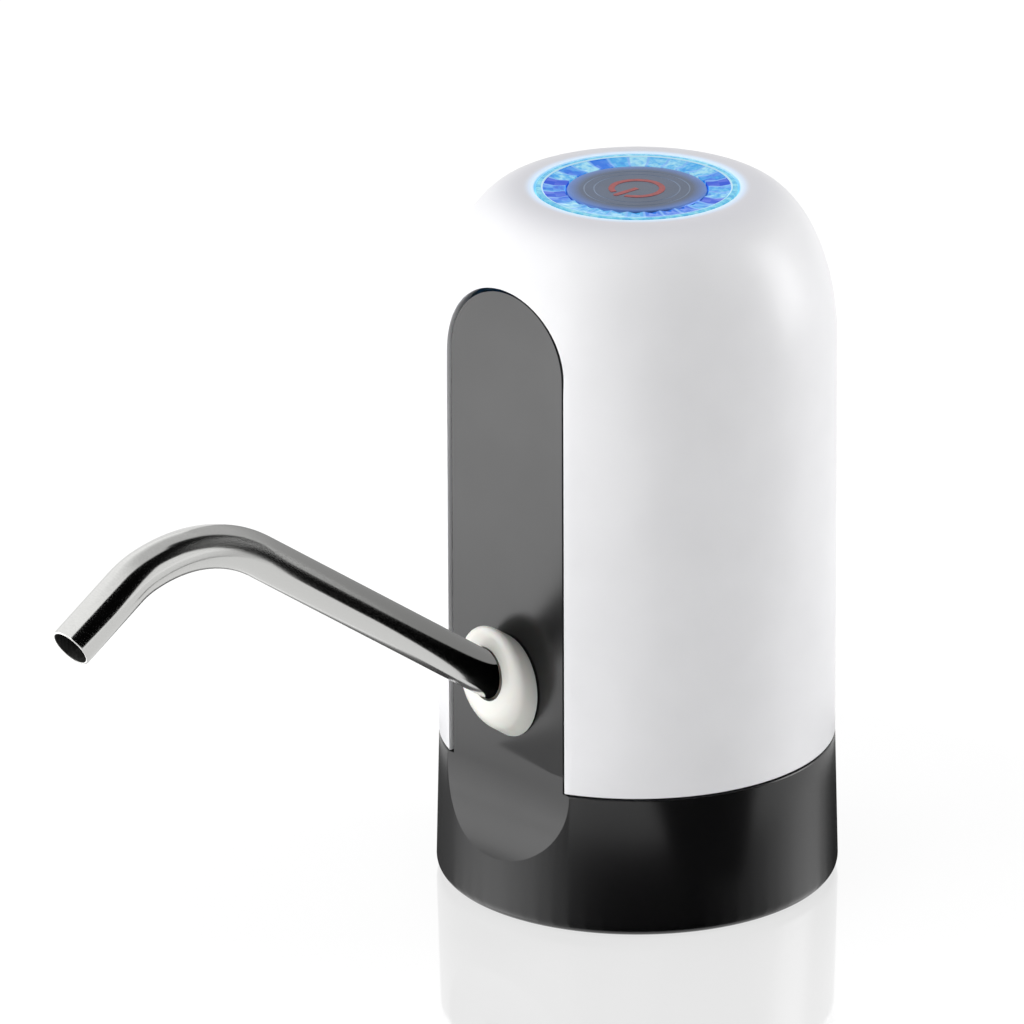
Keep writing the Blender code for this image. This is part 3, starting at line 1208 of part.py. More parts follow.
def socket_boss():
    """A boss behind the panel, flattened over the outlet socket's flange."""
    head_front = SOCKET_FLANGE_BACK - GAP
    head_back = head_front - STAKE_HEAD_HEIGHT
    inside_panel = PANEL_BACK + PANEL_THICKNESS / 2
    profile = [(0, head_back), (SOCKET_BOSS_HEAD, head_back), (SOCKET_BOSS_HEAD, head_front)]
    profile += [(SOCKET_BOSS_RADIUS, head_front), (SOCKET_BOSS_RADIUS, inside_panel), (0, inside_panel)]
    return spun(profile, SMALL_STEPS)


def collar_rings():
    """Upright ellipses that step outward along the spout's slope, rounded in at the front."""
    sections = [(PANEL_OUTWARD + GAP, 0), (COLLAR_OUTWARD - COLLAR_ROUNDING, 0)]
    edge = (COLLAR_OUTWARD - COLLAR_ROUNDING, COLLAR_ROUNDING)
    sections += arc(edge, COLLAR_ROUNDING, -COLLAR_ROUNDING, pi / 2, 0, COLLAR_ROUNDING_STEPS)[1:]
    rings = []
    for outward, inset in sections:
        centre = (0, COLLAR_AXIS_HEIGHT - (COLLAR_OUTWARD - outward) * tan(SPOUT_RISE))
        half_height = COLLAR_RADIUS / cos(SPOUT_RISE) - inset
        outline = closed_arc(centre, COLLAR_RADIUS - inset, half_height, 2 * ROUND_STEPS)
        rings.append([(x, -outward, z) for x, z in outline])
    return rings


def make_outlet(body, spout_axis):
    """White collar on the panel, the socket staked behind it, and the O-ring between them."""
    collar = piece("outlet_collar", lofted(collar_rings()), PLASTIC_COLLAR, body)
    cut(collar, helper("collar_bore", bar(SPOUT_RADIUS + GAP, -SOCKET_END, SOCKET_END), spout_axis))
    sleeve_room = bar(SLEEVE_RADIUS + GAP, -SOCKET_END, GAP - SLEEVE_RECESS)
    cut(collar, helper("collar_sleeve_room", sleeve_room, spout_axis))
    counterbore = bar(NOSE_RADIUS + GAP, -SOCKET_END, -SLEEVE_SUNK - GAP / 2)
    cut(collar, helper("collar_counterbore", counterbore, spout_axis))
    make_outlet_socket(body, spout_axis)
    section = closed_arc((ORING_RADIUS, -SLEEVE_SUNK - ORING_ROOM / 2), ORING_TUBE, ORING_TUBE, ORING_STEPS)
    piece("spout_oring", spun(section), SEAL_RUBBER, spout_axis)


def make_outlet_socket(body, spout_axis):
    """Flanged socket behind the panel that takes the spout's end and the outlet hose."""
    outline = rounded_outline(*SOCKET_FLANGE, SOCKET_FLANGE_CORNER)
    flange = facing_front(prism(outline, SOCKET_FLANGE_BACK, SOCKET_FLANGE_FRONT))
    socket = piece("outlet_socket", shifted(flange, (0, 0, panel_centre())), PLASTIC_INNER, body)
    holes = at_each(socket_boss_places(), lambda: hole(
        SOCKET_BOSS_RADIUS + GAP, SOCKET_FLANGE_BACK, SOCKET_FLANGE_FRONT,
    ))
    cut(socket, helper("flange_holes", facing_front(holes), body))
    barb_tip = -SOCKET_END - BARB_LENGTH
    barrel = [
        (0, OVERRUN - NOSE_FRONT), (NOSE_RADIUS, OVERRUN - NOSE_FRONT), (NOSE_RADIUS, -SOCKET_END),
        (BARB_RADIUS, -SOCKET_END), (BARB_RADIUS, barb_tip + BARB_TIP),
        (BARB_RADIUS - BARB_TIP, barb_tip), (0, barb_tip),
    ]
    join(socket, helper("socket_barrel", spun(barrel), spout_axis))
    bore = [
        (0, SOCKET_END), (NOSE_RADIUS + GAP, SOCKET_END), (NOSE_RADIUS + GAP, -NOSE_FRONT),
        (SPOUT_RADIUS + GAP, -NOSE_FRONT), (SPOUT_RADIUS + GAP, -SOCKET_STOP),
        (BARB_BORE, -SOCKET_STOP), (BARB_BORE, barb_tip - OVERRUN), (0, barb_tip - OVERRUN),
    ]
    cut(socket, helper("socket_bore", spun(bore), spout_axis))


def spout_walk():
    """The spout's centre line in its own frame, where +Z points out of the collar."""
    legs = [
        (SPOUT_INSERTION + SPOUT_STRAIGHT, 0, 0, 1),
        (SPOUT_BEND_RADIUS, SPOUT_BEND_TURN, 1, SPOUT_BEND_STEPS),
        (SPOUT_END_RADIUS, SPOUT_END_TURN, 1, SPOUT_END_STEPS),
        (SPOUT_END_LENGTH, 0, 0, 1),
    ]
    return run_of((0, 0, -SPOUT_INSERTION), (0, 0, 1), legs)


def make_spout(spout_axis):
    """Bent steel spout and the satin sleeve that it turns in, behind the collar's lip."""
    pipe = pipe_along(spout_walk(), SPOUT_RADIUS, SPOUT_RADIUS - SPOUT_WALL, ROUND_STEPS)
    piece("spout_tube", pipe, STAINLESS, spout_axis)
    inner = SPOUT_RADIUS + SLEEVE_FIT
    profile = [
        (inner, -SLEEVE_SUNK), (SLEEVE_RADIUS, -SLEEVE_SUNK),
        (SLEEVE_RADIUS, -SLEEVE_RECESS - SLEEVE_ROUNDING), (SLEEVE_RADIUS - SLEEVE_ROUNDING, -SLEEVE_RECESS),
        (inner, -SLEEVE_RECESS),
    ]
    piece("spout_sleeve", spun(profile), SATIN_STEEL, spout_axis)


def make_outlet_hose(body):
    """Soft hose that bends from the socket's barb up to the pump's outlet barb."""
    down = Vector((0, cos(SPOUT_RISE), -sin(SPOUT_RISE)))
    face = Vector((0, -COLLAR_OUTWARD, COLLAR_AXIS_HEIGHT))
    start = face + down * (SOCKET_END + GAP)
    bend_start = start + down * BARB_LENGTH
    radius = (OUTLET_Y - bend_start.y) / (1 + sin(SPOUT_RISE))
    rise = PUMP_BOTTOM - GAP - bend_start.z - radius * cos(SPOUT_RISE)
    legs = [(BARB_LENGTH, 0, 0, 1), (radius, pi / 2 + SPOUT_RISE, 1, HOSE_BEND_STEPS), (rise, 0, 0, 1)]
    walk = run_of(start, down, legs)
    piece("outlet_hose", pipe_along(walk, HOSE_RADIUS, HOSE_BORE, HOSE_SIDES), SILICONE, body)


def make_lead(name, points, body):
    """One sheathed lead through a few points."""
    piece(name, wire_along([Vector(point) for point in points]), WIRE_RED, body)


def make_leads(body):
    """Leads from the motor, the cell and the charging board up to the control board."""
    board = BOARD_BOTTOM - GAP - WIRE_RADIUS
    x = -GEAR_X - TERMINAL_OFFSET
    low = MOTOR_TOP + 2 * GAP + ENDCAP_HEIGHT + TERMINAL_SIZE[2]
    make_lead("motor_lead", [
        (x, PUMP_Y, low), (x, PUMP_Y + WIRE_SWING / 2, (low + board) / 2), (x, PUMP_Y + WIRE_SWING, board),
    ], body)
    x = BATTERY_X
    low = BATTERY_TOP + 2 * GAP + TAB_SIZE[2]
    make_lead("battery_lead", [
        (x, 0, low), (x - WIRE_SWING, 0, (low + board) / 2), (x - 2 * WIRE_SWING, 0, board),
    ], body)
    y = WIRE_WINDOW_Y
    low = CHARGE_BOARD_BOTTOM + CHARGE_BOARD_SIZE[2] + GAP
    make_lead("charge_lead", [
        (0, y - WIRE_SWING, low), (0, y, SHELF_BOTTOM), (0, y, SHELF_TOP), (0, y - WIRE_SWING, board),
    ], body)


def body_axis_y():
    """How far the body's axis stands behind the middle of the object's footprint."""
    tip, heading = spout_walk()[-1]
    rim = tip + SPOUT_RADIUS * Vector((0, heading.z, -heading.y))
    reach = COLLAR_OUTWARD - rim.y * sin(SPOUT_RISE) + rim.z * cos(SPOUT_RISE)
    return (reach - FOOT_RADIUS) / 2


def main():
    """Build every piece of the pump."""
    clear_scene()
    body = empty("body_axis", (0, body_axis_y(), 0))
    face_turn = (pi / 2 - SPOUT_RISE, 0, 0)
    spout_axis = empty("spout_axis", (0, -COLLAR_OUTWARD, COLLAR_AXIS_HEIGHT), face_turn, body)
    bpy.context.view_layer.update()

    make_top_shell(body)
    make_base_housing(body, spout_axis)
    make_neck_gasket(body)
    make_inlet_nipple(body)
    make_inner_frame(body)
    make_deck_screws(body)
    make_pump(body)
    make_motor(body)
    make_battery(body)
    make_outlet(body, spout_axis)
    make_outlet_hose(body)
    make_spout(spout_axis)
    make_control_board(body)
    make_light_ring(body)
    make_power_button(body)
    make_charging_port(body)
    make_leads(body)


main()
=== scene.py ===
"""Looks of an electric bottled water pump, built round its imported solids.

World units are metres and +Z is up. The front, where the spout leaves the body, faces -Y.
Every piece is modelled about the round body's own axis and then set on that axis in the world.
"Outward" below means the distance from the body's axis towards the front.
"""

import logging
import math
from collections.abc import Callable
from dataclasses import dataclass
from enum import Enum

import bmesh
import bpy
from mathutils import Matrix, Vector

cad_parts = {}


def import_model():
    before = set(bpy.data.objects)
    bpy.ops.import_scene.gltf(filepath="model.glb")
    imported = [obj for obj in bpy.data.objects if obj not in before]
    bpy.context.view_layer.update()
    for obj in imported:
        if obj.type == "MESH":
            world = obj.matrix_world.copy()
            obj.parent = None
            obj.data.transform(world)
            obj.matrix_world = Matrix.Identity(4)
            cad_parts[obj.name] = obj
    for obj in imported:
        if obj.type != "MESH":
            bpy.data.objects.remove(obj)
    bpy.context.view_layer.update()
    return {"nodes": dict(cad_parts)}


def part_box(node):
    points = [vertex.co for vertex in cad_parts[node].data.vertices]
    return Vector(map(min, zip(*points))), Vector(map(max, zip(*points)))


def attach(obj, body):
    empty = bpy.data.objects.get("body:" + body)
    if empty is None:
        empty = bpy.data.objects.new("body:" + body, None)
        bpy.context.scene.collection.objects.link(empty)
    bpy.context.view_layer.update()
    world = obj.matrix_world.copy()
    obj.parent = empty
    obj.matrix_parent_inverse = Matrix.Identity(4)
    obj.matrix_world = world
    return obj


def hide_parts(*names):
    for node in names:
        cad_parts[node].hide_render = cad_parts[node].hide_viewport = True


LOG = logging.getLogger("water_pump")
MM = 0.001
FULL_TURN = 2 * math.pi
QUARTER_TURN = math.pi / 2
UP = Vector((0, 0, 1))
Point = tuple[float, float]
Stops = tuple[tuple[float, str], ...]

# Corners closer than MERGE become one, a cutting tool reaches OVERRUN past its piece, and pieces that
# touch on the real pump stand GAP apart.
MERGE = 0.002 * MM
OVERRUN = 1.0 * MM
GAP = 0.3 * MM

# A cloudy pattern lies mostly between these two.
QUIET = 0.3
LOUD = 0.7

# Degrees round the axis at which the deck's screws stand.
HOUSING_SCREWS = (45, 135, 225, 315)
FRAME_SCREWS = (62, 180, 298)


class Body(Enum):
    """The CAD bodies that pieces ride on."""

    HOUSING = "housing"
    SLEEVE = "spout_sleeve"
    SPOUT = "spout"
    BUTTON = "button"


class Slot(Enum):
    """The record's material slots."""

    WHITE = "white_plastic"
    COLLAR = "collar_plastic"
    DARK = "dark_plastic"
    INNER = "inner_plastic"
    PUMP = "pump_plastic"
    SILICONE = "silicone"
    SEAL = "seal_rubber"
    STAINLESS = "stainless"
    SATIN = "satin_steel"
    ZINC = "zinc_steel"
    RING = "ring_clear"
    BUTTON = "button_metal"
    BOARD = "board_green"
    LAMP = "lamp_blue"
    CHIP = "chip_black"
    CELL = "cell_wrap"
    GEAR = "gear_acetal"
    WIRE = "wire_red"


class Carving(Enum):
    """What a tool does to the piece that it meets."""

    AWAY = "DIFFERENCE"
    ONTO = "UNION"


class Axis(Enum):
    """The world's axes, by their place in a vector."""

    X = 0
    Y = 1
    Z = 2


class Measure(Enum):
    """The measures of a point's place that a card's shades change along."""

    RADIUS = "radius"
    HEIGHT = "height"


def linear(colour: str) -> tuple[float, float, float, float]:
    """Turn an sRGB hex colour into the linear colour that the shader wants.

    Args:
        colour: A colour such as "#F4F4F5".

    Returns:
        Red, green, blue and an alpha of one.
    """
    parts = [int(colour[start:start + 2], 16) / 255 for start in (1, 3, 5)]
    toe, slope, offset, power = 0.04045, 12.92, 0.055, 2.4
    straight = [part / slope if part <= toe else ((part + offset) / (1 + offset)) ** power
                for part in parts]
    return (*straight, 1.0)


def node(tree: bpy.types.NodeTree, kind: str, inputs: dict[str | int, object] | None = None,
         stops: Stops = (), **settings: object) -> bpy.types.Node:
    """Add a node with its settings and links.

    Args:
        tree: The material's or world's node tree.
        kind: The node's type name.
        inputs: Socket name or number to a value, or to the output that feeds it.
        stops: The stops of a colour ramp.
        settings: The node's own properties.

    Returns:
        The new node.
    """
    made = tree.nodes.new(kind)
    for name, value in settings.items():
        setattr(made, name, value)
    for socket, value in (inputs or {}).items():
        if isinstance(value, bpy.types.NodeSocket):
            tree.links.new(value, made.inputs[socket])
        else:
            made.inputs[socket].default_value = value
    if stops:
        elements = made.color_ramp.elements
        for _ in stops[2:]:
            elements.new(1.0)
        for element, (place, colour) in zip(elements, stops):
            element.position = place
            element.color = linear(colour)
    return made


def blank(name: str) -> tuple[bpy.types.Material, bpy.types.NodeTree]:
    """Start an empty material.

    Args:
        name: What the real material or surface is.

    Returns:
        The material and its node tree.
    """
    material = bpy.data.materials.new(name)
    material.use_nodes = True
    material.node_tree.nodes.clear()
    return material, material.node_tree


def lumps(tree: bpy.types.NodeTree, size: float, detail: float = 2.0,
          stretch: tuple[float, float, float] = (1, 1, 1)) -> bpy.types.NodeSocket:
    """Spread a cloudy pattern over the piece.

    Args:
        tree: The node tree.
        size: How many metres across a lump is.
        detail: How much finer pattern is added.
        stretch: How much each axis counts, so that lumps can be drawn out into lines.

    Returns:
        The pattern, mostly between QUIET and LOUD.
    """
    place = node(tree, "ShaderNodeTexCoord").outputs["Object"]
    drawn = node(tree, "ShaderNodeMapping", {"Vector": place, "Scale": stretch}).outputs["Vector"]
    noise = node(tree, "ShaderNodeTexNoise", {"Vector": drawn, "Scale": 1 / size, "Detail": detail})
    return noise.outputs["Fac"]


@dataclass(frozen=True)
class RoundPlace:
    """Where a point of the piece lies round the body's own axis."""

    radius: bpy.types.NodeSocket
    turn: bpy.types.NodeSocket
    height: bpy.types.NodeSocket

    @classmethod
    def on(cls, tree: bpy.types.NodeTree, axis: Vector) -> "RoundPlace":
        """Work out the place from the piece's own coordinates.

        Args:
            tree: The node tree.
            axis: Where the body's axis meets the ground.

        Returns:
            Sockets with the distance from the axis, the angle round it and the height.
        """
        place = node(tree, "ShaderNodeTexCoord").outputs["Object"]
        centred = node(tree, "ShaderNodeMapping", {"Vector": place, "Location": -axis}).outputs["Vector"]
        parts = node(tree, "ShaderNodeSeparateXYZ", {"Vector": centred}).outputs
        flat = node(tree, "ShaderNodeCombineXYZ", {"X": parts["X"], "Y": parts["Y"]}).outputs["Vector"]
        radius = node(tree, "ShaderNodeVectorMath", {0: flat}, operation="LENGTH").outputs["Value"]
        turn = node(tree, "ShaderNodeMath", {0: parts["Y"], 1: parts["X"]}, operation="ARCTAN2")
        return cls(radius, turn.outputs["Value"], parts["Z"])


@dataclass(frozen=True)
class MouldedPlastic:
    """Injection-moulded plastic."""

    name: str
    colour: str
    shade: str
    roughness: float
    grain_size: float = 0.35 * MM
    grain_depth: float = 0.004 * MM
    patch_size: float = 14 * MM
    ior: float = 1.5
    subsurface: float = 0.0
    subsurface_reach: float = 1.5 * MM
    roughness_spread: float = 0.08

    def material(self) -> bpy.types.Material:
        """Make the material.

        Returns:
            The material.
        """
        # The tool's spark-eroded skin gives an even fine grain that softens every highlight. Handling
        # leaves faint patches a little glossier than the rest.
        material, tree = blank(self.name)
        patches = lumps(tree, self.patch_size)
        colour = node(tree, "ShaderNodeValToRGB", {"Fac": patches},
                      ((QUIET, self.shade), (LOUD, self.colour)))
        roughness = node(tree, "ShaderNodeMapRange", {
            "Value": patches, "From Min": QUIET, "From Max": LOUD,
            "To Min": self.roughness * (1 + self.roughness_spread),
            "To Max": self.roughness * (1 - self.roughness_spread),
        })
        bump = node(tree, "ShaderNodeBump", {
            "Height": lumps(tree, self.grain_size), "Distance": self.grain_depth, "Strength": 1.0,
        })
        shader = node(tree, "ShaderNodeBsdfPrincipled", {
            "Base Color": colour.outputs["Color"], "Roughness": roughness.outputs["Result"],
            "IOR": self.ior, "Normal": bump.outputs["Normal"], "Subsurface Weight": self.subsurface,
            "Subsurface Scale": self.subsurface_reach,
        })
        node(tree, "ShaderNodeOutputMaterial", {"Surface": shader.outputs["BSDF"]})
        return material


@dataclass(frozen=True)
class LampLitPlastic(MouldedPlastic):
    """White ABS round the lamp ring."""

    axis: Vector = Vector()
    ring_radius: float = 18.45 * MM
    crown_height: float = 132.15 * MM
    crown_drop: float = 9 * MM
    # The fields from here down paint the lamps' light on the shell: a blue glow next to the ring and a
    # cool tint on the crown.
    reach: float = 2.6 * MM
    glow: str = "#7FD0FF"
    painted_glow_strength: float = 0.38
    painted_tint_reach: float = 14 * MM
    painted_crown_tint: str = "#DBDBE1"

    def material(self) -> bpy.types.Material:
        """Make the material.

        Returns:
            The material.
        """
        # The plastic is slightly translucent, and the blue lamps' light in it is painted on: an emitted
        # blue glow a few millimetres out from the ring, and a painted cool tint over the white of the
        # whole crown.
        material = super().material()
        tree = material.node_tree
        shader = next(item for item in tree.nodes if item.type == "BSDF_PRINCIPLED")
        place = RoundPlace.on(tree, self.axis)
        near_crown = node(tree, "ShaderNodeMapRange", {
            "Value": place.height, "From Min": self.crown_height - self.crown_drop,
            "From Max": self.crown_height,
        }, interpolation_type="SMOOTHERSTEP").outputs["Result"]
        shares = []
        for reach, most in ((self.reach, self.painted_glow_strength), (self.painted_tint_reach, 1.0)):
            fall = node(tree, "ShaderNodeMapRange", {
                "Value": place.radius, "From Min": self.ring_radius, "From Max": self.ring_radius + reach,
                "To Min": most, "To Max": 0.0,
            }, interpolation_type="SMOOTHERSTEP").outputs["Result"]
            share = node(tree, "ShaderNodeMath", {0: fall, 1: near_crown}, operation="MULTIPLY")
            shares.append(share.outputs["Value"])
        tree.links.new(shares[0], shader.inputs["Emission Strength"])
        shader.inputs["Emission Color"].default_value = linear(self.glow)
        plain = shader.inputs["Base Color"].links[0].from_socket
        painted_cool_crown = node(tree, "ShaderNodeMix", {"Factor": shares[1], "A": plain, "B": linear(self.painted_crown_tint)},
                      data_type="RGBA")
        tree.links.new(painted_cool_crown.outputs["Result"], shader.inputs["Base Color"])
        return material


@dataclass(frozen=True)
class DrawnSteel:
    """Stainless or plated steel, drawn or turned and then polished."""

    name: str
    colour: str
    shade: str
    roughness: float
    line_width: float
    line_axis: Vector
    wave_depth: float
    wave_size: float = 6 * MM
    anisotropic: float = 0.0
    draw_out: float = 0.04
    roughness_spread: float = 0.15

    def material(self) -> bpy.types.Material:
        """Make the material.

        Returns:
            The material.
        """
        # Drawing, turning and buffing leave fine lines, so the shine changes across them. Polishing
        # leaves a faint unevenness that makes mirrored edges waver.
        material, tree = blank(self.name)
        stretch = tuple(1 + (self.draw_out - 1) * abs(part) for part in self.line_axis)
        lines = lumps(tree, self.line_width, 1.0, stretch)
        colour = node(tree, "ShaderNodeValToRGB", {"Fac": lines},
                      ((QUIET, self.shade), (LOUD, self.colour)))
        roughness = node(tree, "ShaderNodeMapRange", {
            "Value": lines, "From Min": QUIET, "From Max": LOUD,
            "To Min": self.roughness * (1 - self.roughness_spread),
            "To Max": self.roughness * (1 + self.roughness_spread),
        })
        bump = node(tree, "ShaderNodeBump", {
            "Height": lumps(tree, self.wave_size, 0.0), "Distance": self.wave_depth, "Strength": 1.0,
        })
        shader = node(tree, "ShaderNodeBsdfPrincipled", {
            "Base Color": colour.outputs["Color"], "Metallic": 1.0,
            "Roughness": roughness.outputs["Result"], "Anisotropic": self.anisotropic,
            "Normal": bump.outputs["Normal"],
        })
        node(tree, "ShaderNodeOutputMaterial", {"Surface": shader.outputs["BSDF"]})
        return material


@dataclass(frozen=True)
class BlastedAluminium:
    """Bead-blasted anodised aluminium with a dyed oxide, and the lamp ring's blue light painted towards
    its rim.
    """

    axis: Vector
    radius: float
    grooves: tuple[float, ...]
    name: str = "blasted_anodised_aluminium"
    # From the middle out the shades get bluer towards the rim, which is painted light from the lamp ring.
    # The groove shade is a painted highlight.
    middle: str = "#585F6E"
    inner: str = "#526078"
    rim: str = "#5E84CC"
    painted_rim_blue_start: float = 0.8
    painted_groove_highlight: str = "#8C9CB4"
    groove_half: float = 0.16 * MM
    metallic: float = 0.75
    roughness: float = 0.40
    roughness_spread: float = 0.1
    grain_size: float = 0.22 * MM
    grain_depth: float = 0.006 * MM
    patch_size: float = 9 * MM
    patch_shades: Point = (0.9, 1.08)

    def material(self) -> bpy.types.Material:
        """Make the material.

        Returns:
            The material.
        """
        # Blasting gives a matte sparkle. The dyed oxide is slate grey and takes a part of the metal's
        # shine. The blue towards the rim is painted light from the ring, and the pale lines on the bare
        # cut of the two turned grooves are painted highlights.
        material, tree = blank(self.name)
        place = RoundPlace.on(tree, self.axis)
        share = node(tree, "ShaderNodeMath", {0: place.radius, 1: self.radius}, operation="DIVIDE")
        stops = [(0.0, self.middle)]
        for groove in self.grooves:
            stops += [((groove - self.groove_half) / self.radius, self.inner),
                      (groove / self.radius, self.painted_groove_highlight),
                      ((groove + self.groove_half) / self.radius, self.inner)]
        stops += [(self.painted_rim_blue_start, self.inner), (1.0, self.rim)]
        colour = node(tree, "ShaderNodeValToRGB", {"Fac": share.outputs["Value"]}, tuple(stops))
        patches = node(tree, "ShaderNodeMapRange", {
            "Value": lumps(tree, self.patch_size), "From Min": QUIET, "From Max": LOUD,
            "To Min": self.patch_shades[0], "To Max": self.patch_shades[1],
        })
        worn = node(tree, "ShaderNodeVectorMath", {
            0: colour.outputs["Color"], "Scale": patches.outputs["Result"],
        }, operation="SCALE")
        blasted = lumps(tree, self.grain_size)
        roughness = node(tree, "ShaderNodeMapRange", {
            "Value": blasted, "From Min": QUIET, "From Max": LOUD,
            "To Min": self.roughness * (1 - self.roughness_spread),
            "To Max": self.roughness * (1 + self.roughness_spread),
        })
        bump = node(tree, "ShaderNodeBump", {
            "Height": blasted, "Distance": self.grain_depth, "Strength": 1.0,
        })
        shader = node(tree, "ShaderNodeBsdfPrincipled", {
            "Base Color": worn.outputs["Vector"], "Metallic": self.metallic,
            "Roughness": roughness.outputs["Result"], "Normal": bump.outputs["Normal"],
        })
        node(tree, "ShaderNodeOutputMaterial", {"Surface": shader.outputs["BSDF"]})
        return material


@dataclass(frozen=True)
class LitCrystal:
    """Clear polycarbonate light guide, moulded with facets and lit from below by blue lamps."""

    axis: Vector
    facets: int
    band_radius: float
    name: str = "lit_polycarbonate"
    body: str = "#082050"
    border: str = "#84C0FF"
    circle: str = "#C8F2FF"
    circle_half: float = 0.15 * MM
    border_start: float = 0.40
    border_end: float = 0.48
    glint_size: float = 1.3 * MM
    strength: float = 0.75
    # Two painted highlight zones, at the front right and the back left, and how much paler they make the
    # cells.
    painted_pale_zones: float = 2.0
    painted_pale_turn: float = math.radians(88)
    painted_pale_gain: float = 0.13
    roughness: float = 0.08
    ior: float = 1.58
    specular: float = 0.08
    cell_shades: Stops = ((0.0, "#1450E0"), (0.14, "#2A80F0"), (0.3, "#50BCF8"), (0.5, "#B0F0FF"))
    rim_shades: Stops = ((0.3, "#46B4EC"), (0.55, "#7FE0F6"), (0.75, "#B8F2FA"))

    def material(self) -> bpy.types.Material:
        """Make the material.

        Returns:
            The material.
        """
        # Each facet sends up its own share of the light, so the cells run from deep blue to pale cyan. On
        # top of that they are painted paler towards the front right and the back left, a painted
        # highlight. The ridges between them and the step to the smooth rim shine, and the rim glows
        # evenly. The specular level is low, because the light inside drowns what such clear plastic
        # mirrors.
        material, tree = blank(self.name)
        place = RoundPlace.on(tree, self.axis)
        turn = node(tree, "ShaderNodeMath", {0: place.turn, 1: self.facets / FULL_TURN},
                    operation="MULTIPLY").outputs["Value"]
        cell = node(tree, "ShaderNodeMath", {0: turn}, operation="FLOOR").outputs["Value"]
        chance = node(tree, "ShaderNodeTexWhiteNoise", {"W": cell},
                      noise_dimensions="1D").outputs["Value"]
        glints = lumps(tree, self.glint_size, 3.0)
        uneven = node(tree, "ShaderNodeMath", {0: chance, 1: glints},
                      operation="MULTIPLY").outputs["Value"]
        # Painted highlight: the cells get paler towards the front right and the back left.
        lamps = node(tree, "ShaderNodeMath", {0: place.turn, 1: self.painted_pale_zones, 2: self.painted_pale_turn},
                     operation="MULTIPLY_ADD").outputs["Value"]
        painted_paleness = node(tree, "ShaderNodeMath", {0: lamps}, operation="COSINE").outputs["Value"]
        mixed = node(tree, "ShaderNodeMath", {0: painted_paleness, 1: self.painted_pale_gain, 2: uneven},
                     operation="MULTIPLY_ADD").outputs["Value"]
        cells = node(tree, "ShaderNodeValToRGB", {"Fac": mixed}, self.cell_shades).outputs["Color"]
        inside = node(tree, "ShaderNodeMath", {0: turn}, operation="FRACT").outputs["Value"]
        centred = node(tree, "ShaderNodeMath", {0: inside, 1: 0.5}, operation="SUBTRACT").outputs["Value"]
        edge = node(tree, "ShaderNodeMath", {0: centred}, operation="ABSOLUTE").outputs["Value"]
        ridge = node(tree, "ShaderNodeMapRange", {
            "Value": edge, "From Min": self.border_start, "From Max": self.border_end,
        }).outputs["Result"]
        faceted = node(tree, "ShaderNodeMix", {"Factor": ridge, "A": cells, "B": linear(self.border)},
                       data_type="RGBA").outputs["Result"]
        rim = node(tree, "ShaderNodeMath", {0: place.radius, 1: self.band_radius},
                   operation="GREATER_THAN").outputs["Value"]
        even = node(tree, "ShaderNodeValToRGB", {"Fac": glints}, self.rim_shades).outputs["Color"]
        lit = node(tree, "ShaderNodeMix", {"Factor": rim, "A": faceted, "B": even},
                   data_type="RGBA").outputs["Result"]
        off_circle = node(tree, "ShaderNodeMath", {0: place.radius, 1: self.band_radius},
                          operation="SUBTRACT").outputs["Value"]
        on_circle = node(tree, "ShaderNodeMath", {0: off_circle, 1: 0.0, 2: self.circle_half},
                         operation="COMPARE").outputs["Value"]
        shown = node(tree, "ShaderNodeMix", {"Factor": on_circle, "A": lit, "B": linear(self.circle)},
                     data_type="RGBA").outputs["Result"]
        shader = node(tree, "ShaderNodeBsdfPrincipled", {
            "Base Color": linear(self.body), "Roughness": self.roughness, "IOR": self.ior,
            "Specular IOR Level": self.specular, "Emission Color": shown,
            "Emission Strength": self.strength,
        })
        node(tree, "ShaderNodeOutputMaterial", {"Surface": shader.outputs["BSDF"]})
        return material


@dataclass(frozen=True)
class BackLitInk:
    """Red ink in the laser-cut mark."""

    name: str = "backlit_red_ink"
    colour: str = "#A01A20"
    deep: str = "#841418"
    strength: float = 0.05
    roughness: float = 0.38
    patch_size: float = 0.9 * MM

    def material(self) -> bpy.types.Material:
        """Make the material.

        Returns:
            The material.
        """
        # The ink is translucent and unevenly filled, so the lamp behind it lights it in faint clouds.
        material, tree = blank(self.name)
        colour = node(tree, "ShaderNodeValToRGB", {"Fac": lumps(tree, self.patch_size)},
                      ((QUIET, self.deep), (LOUD, self.colour))).outputs["Color"]
        shader = node(tree, "ShaderNodeBsdfPrincipled", {
            "Base Color": colour, "Roughness": self.roughness, "Emission Color": colour,
            "Emission Strength": self.strength,
        })
        node(tree, "ShaderNodeOutputMaterial", {"Surface": shader.outputs["BSDF"]})
        return material


@dataclass(frozen=True)
class CircuitLaminate:
    """Glass-epoxy board with copper tracks under green solder mask."""

    name: str = "masked_circuit_laminate"
    mask: str = "#14582F"
    track: str = "#2C8A4E"
    track_pitch: float = 2.4 * MM
    track_edges: Point = (0.08, 0.12)
    track_height: float = 0.02 * MM
    track_strength: float = 0.3
    roughness: float = 0.32

    def material(self) -> bpy.types.Material:
        """Make the material.

        Returns:
            The material.
        """
        # The mask lies over the tracks like glaze, so they show as paler lines that stand up a little.
        material, tree = blank(self.name)
        place = node(tree, "ShaderNodeTexCoord").outputs["Object"]
        routes = node(tree, "ShaderNodeTexVoronoi", {"Vector": place, "Scale": 1 / self.track_pitch},
                      feature="DISTANCE_TO_EDGE").outputs["Distance"]
        inside, outside = self.track_edges
        colour = node(tree, "ShaderNodeValToRGB", {"Fac": routes},
                      ((inside, self.track), (outside, self.mask)))
        bump = node(tree, "ShaderNodeBump", {
            "Height": routes, "Distance": self.track_height, "Strength": self.track_strength,
        })
        shader = node(tree, "ShaderNodeBsdfPrincipled", {
            "Base Color": colour.outputs["Color"], "Roughness": self.roughness,
            "Normal": bump.outputs["Normal"],
        })
        node(tree, "ShaderNodeOutputMaterial", {"Surface": shader.outputs["BSDF"]})
        return material


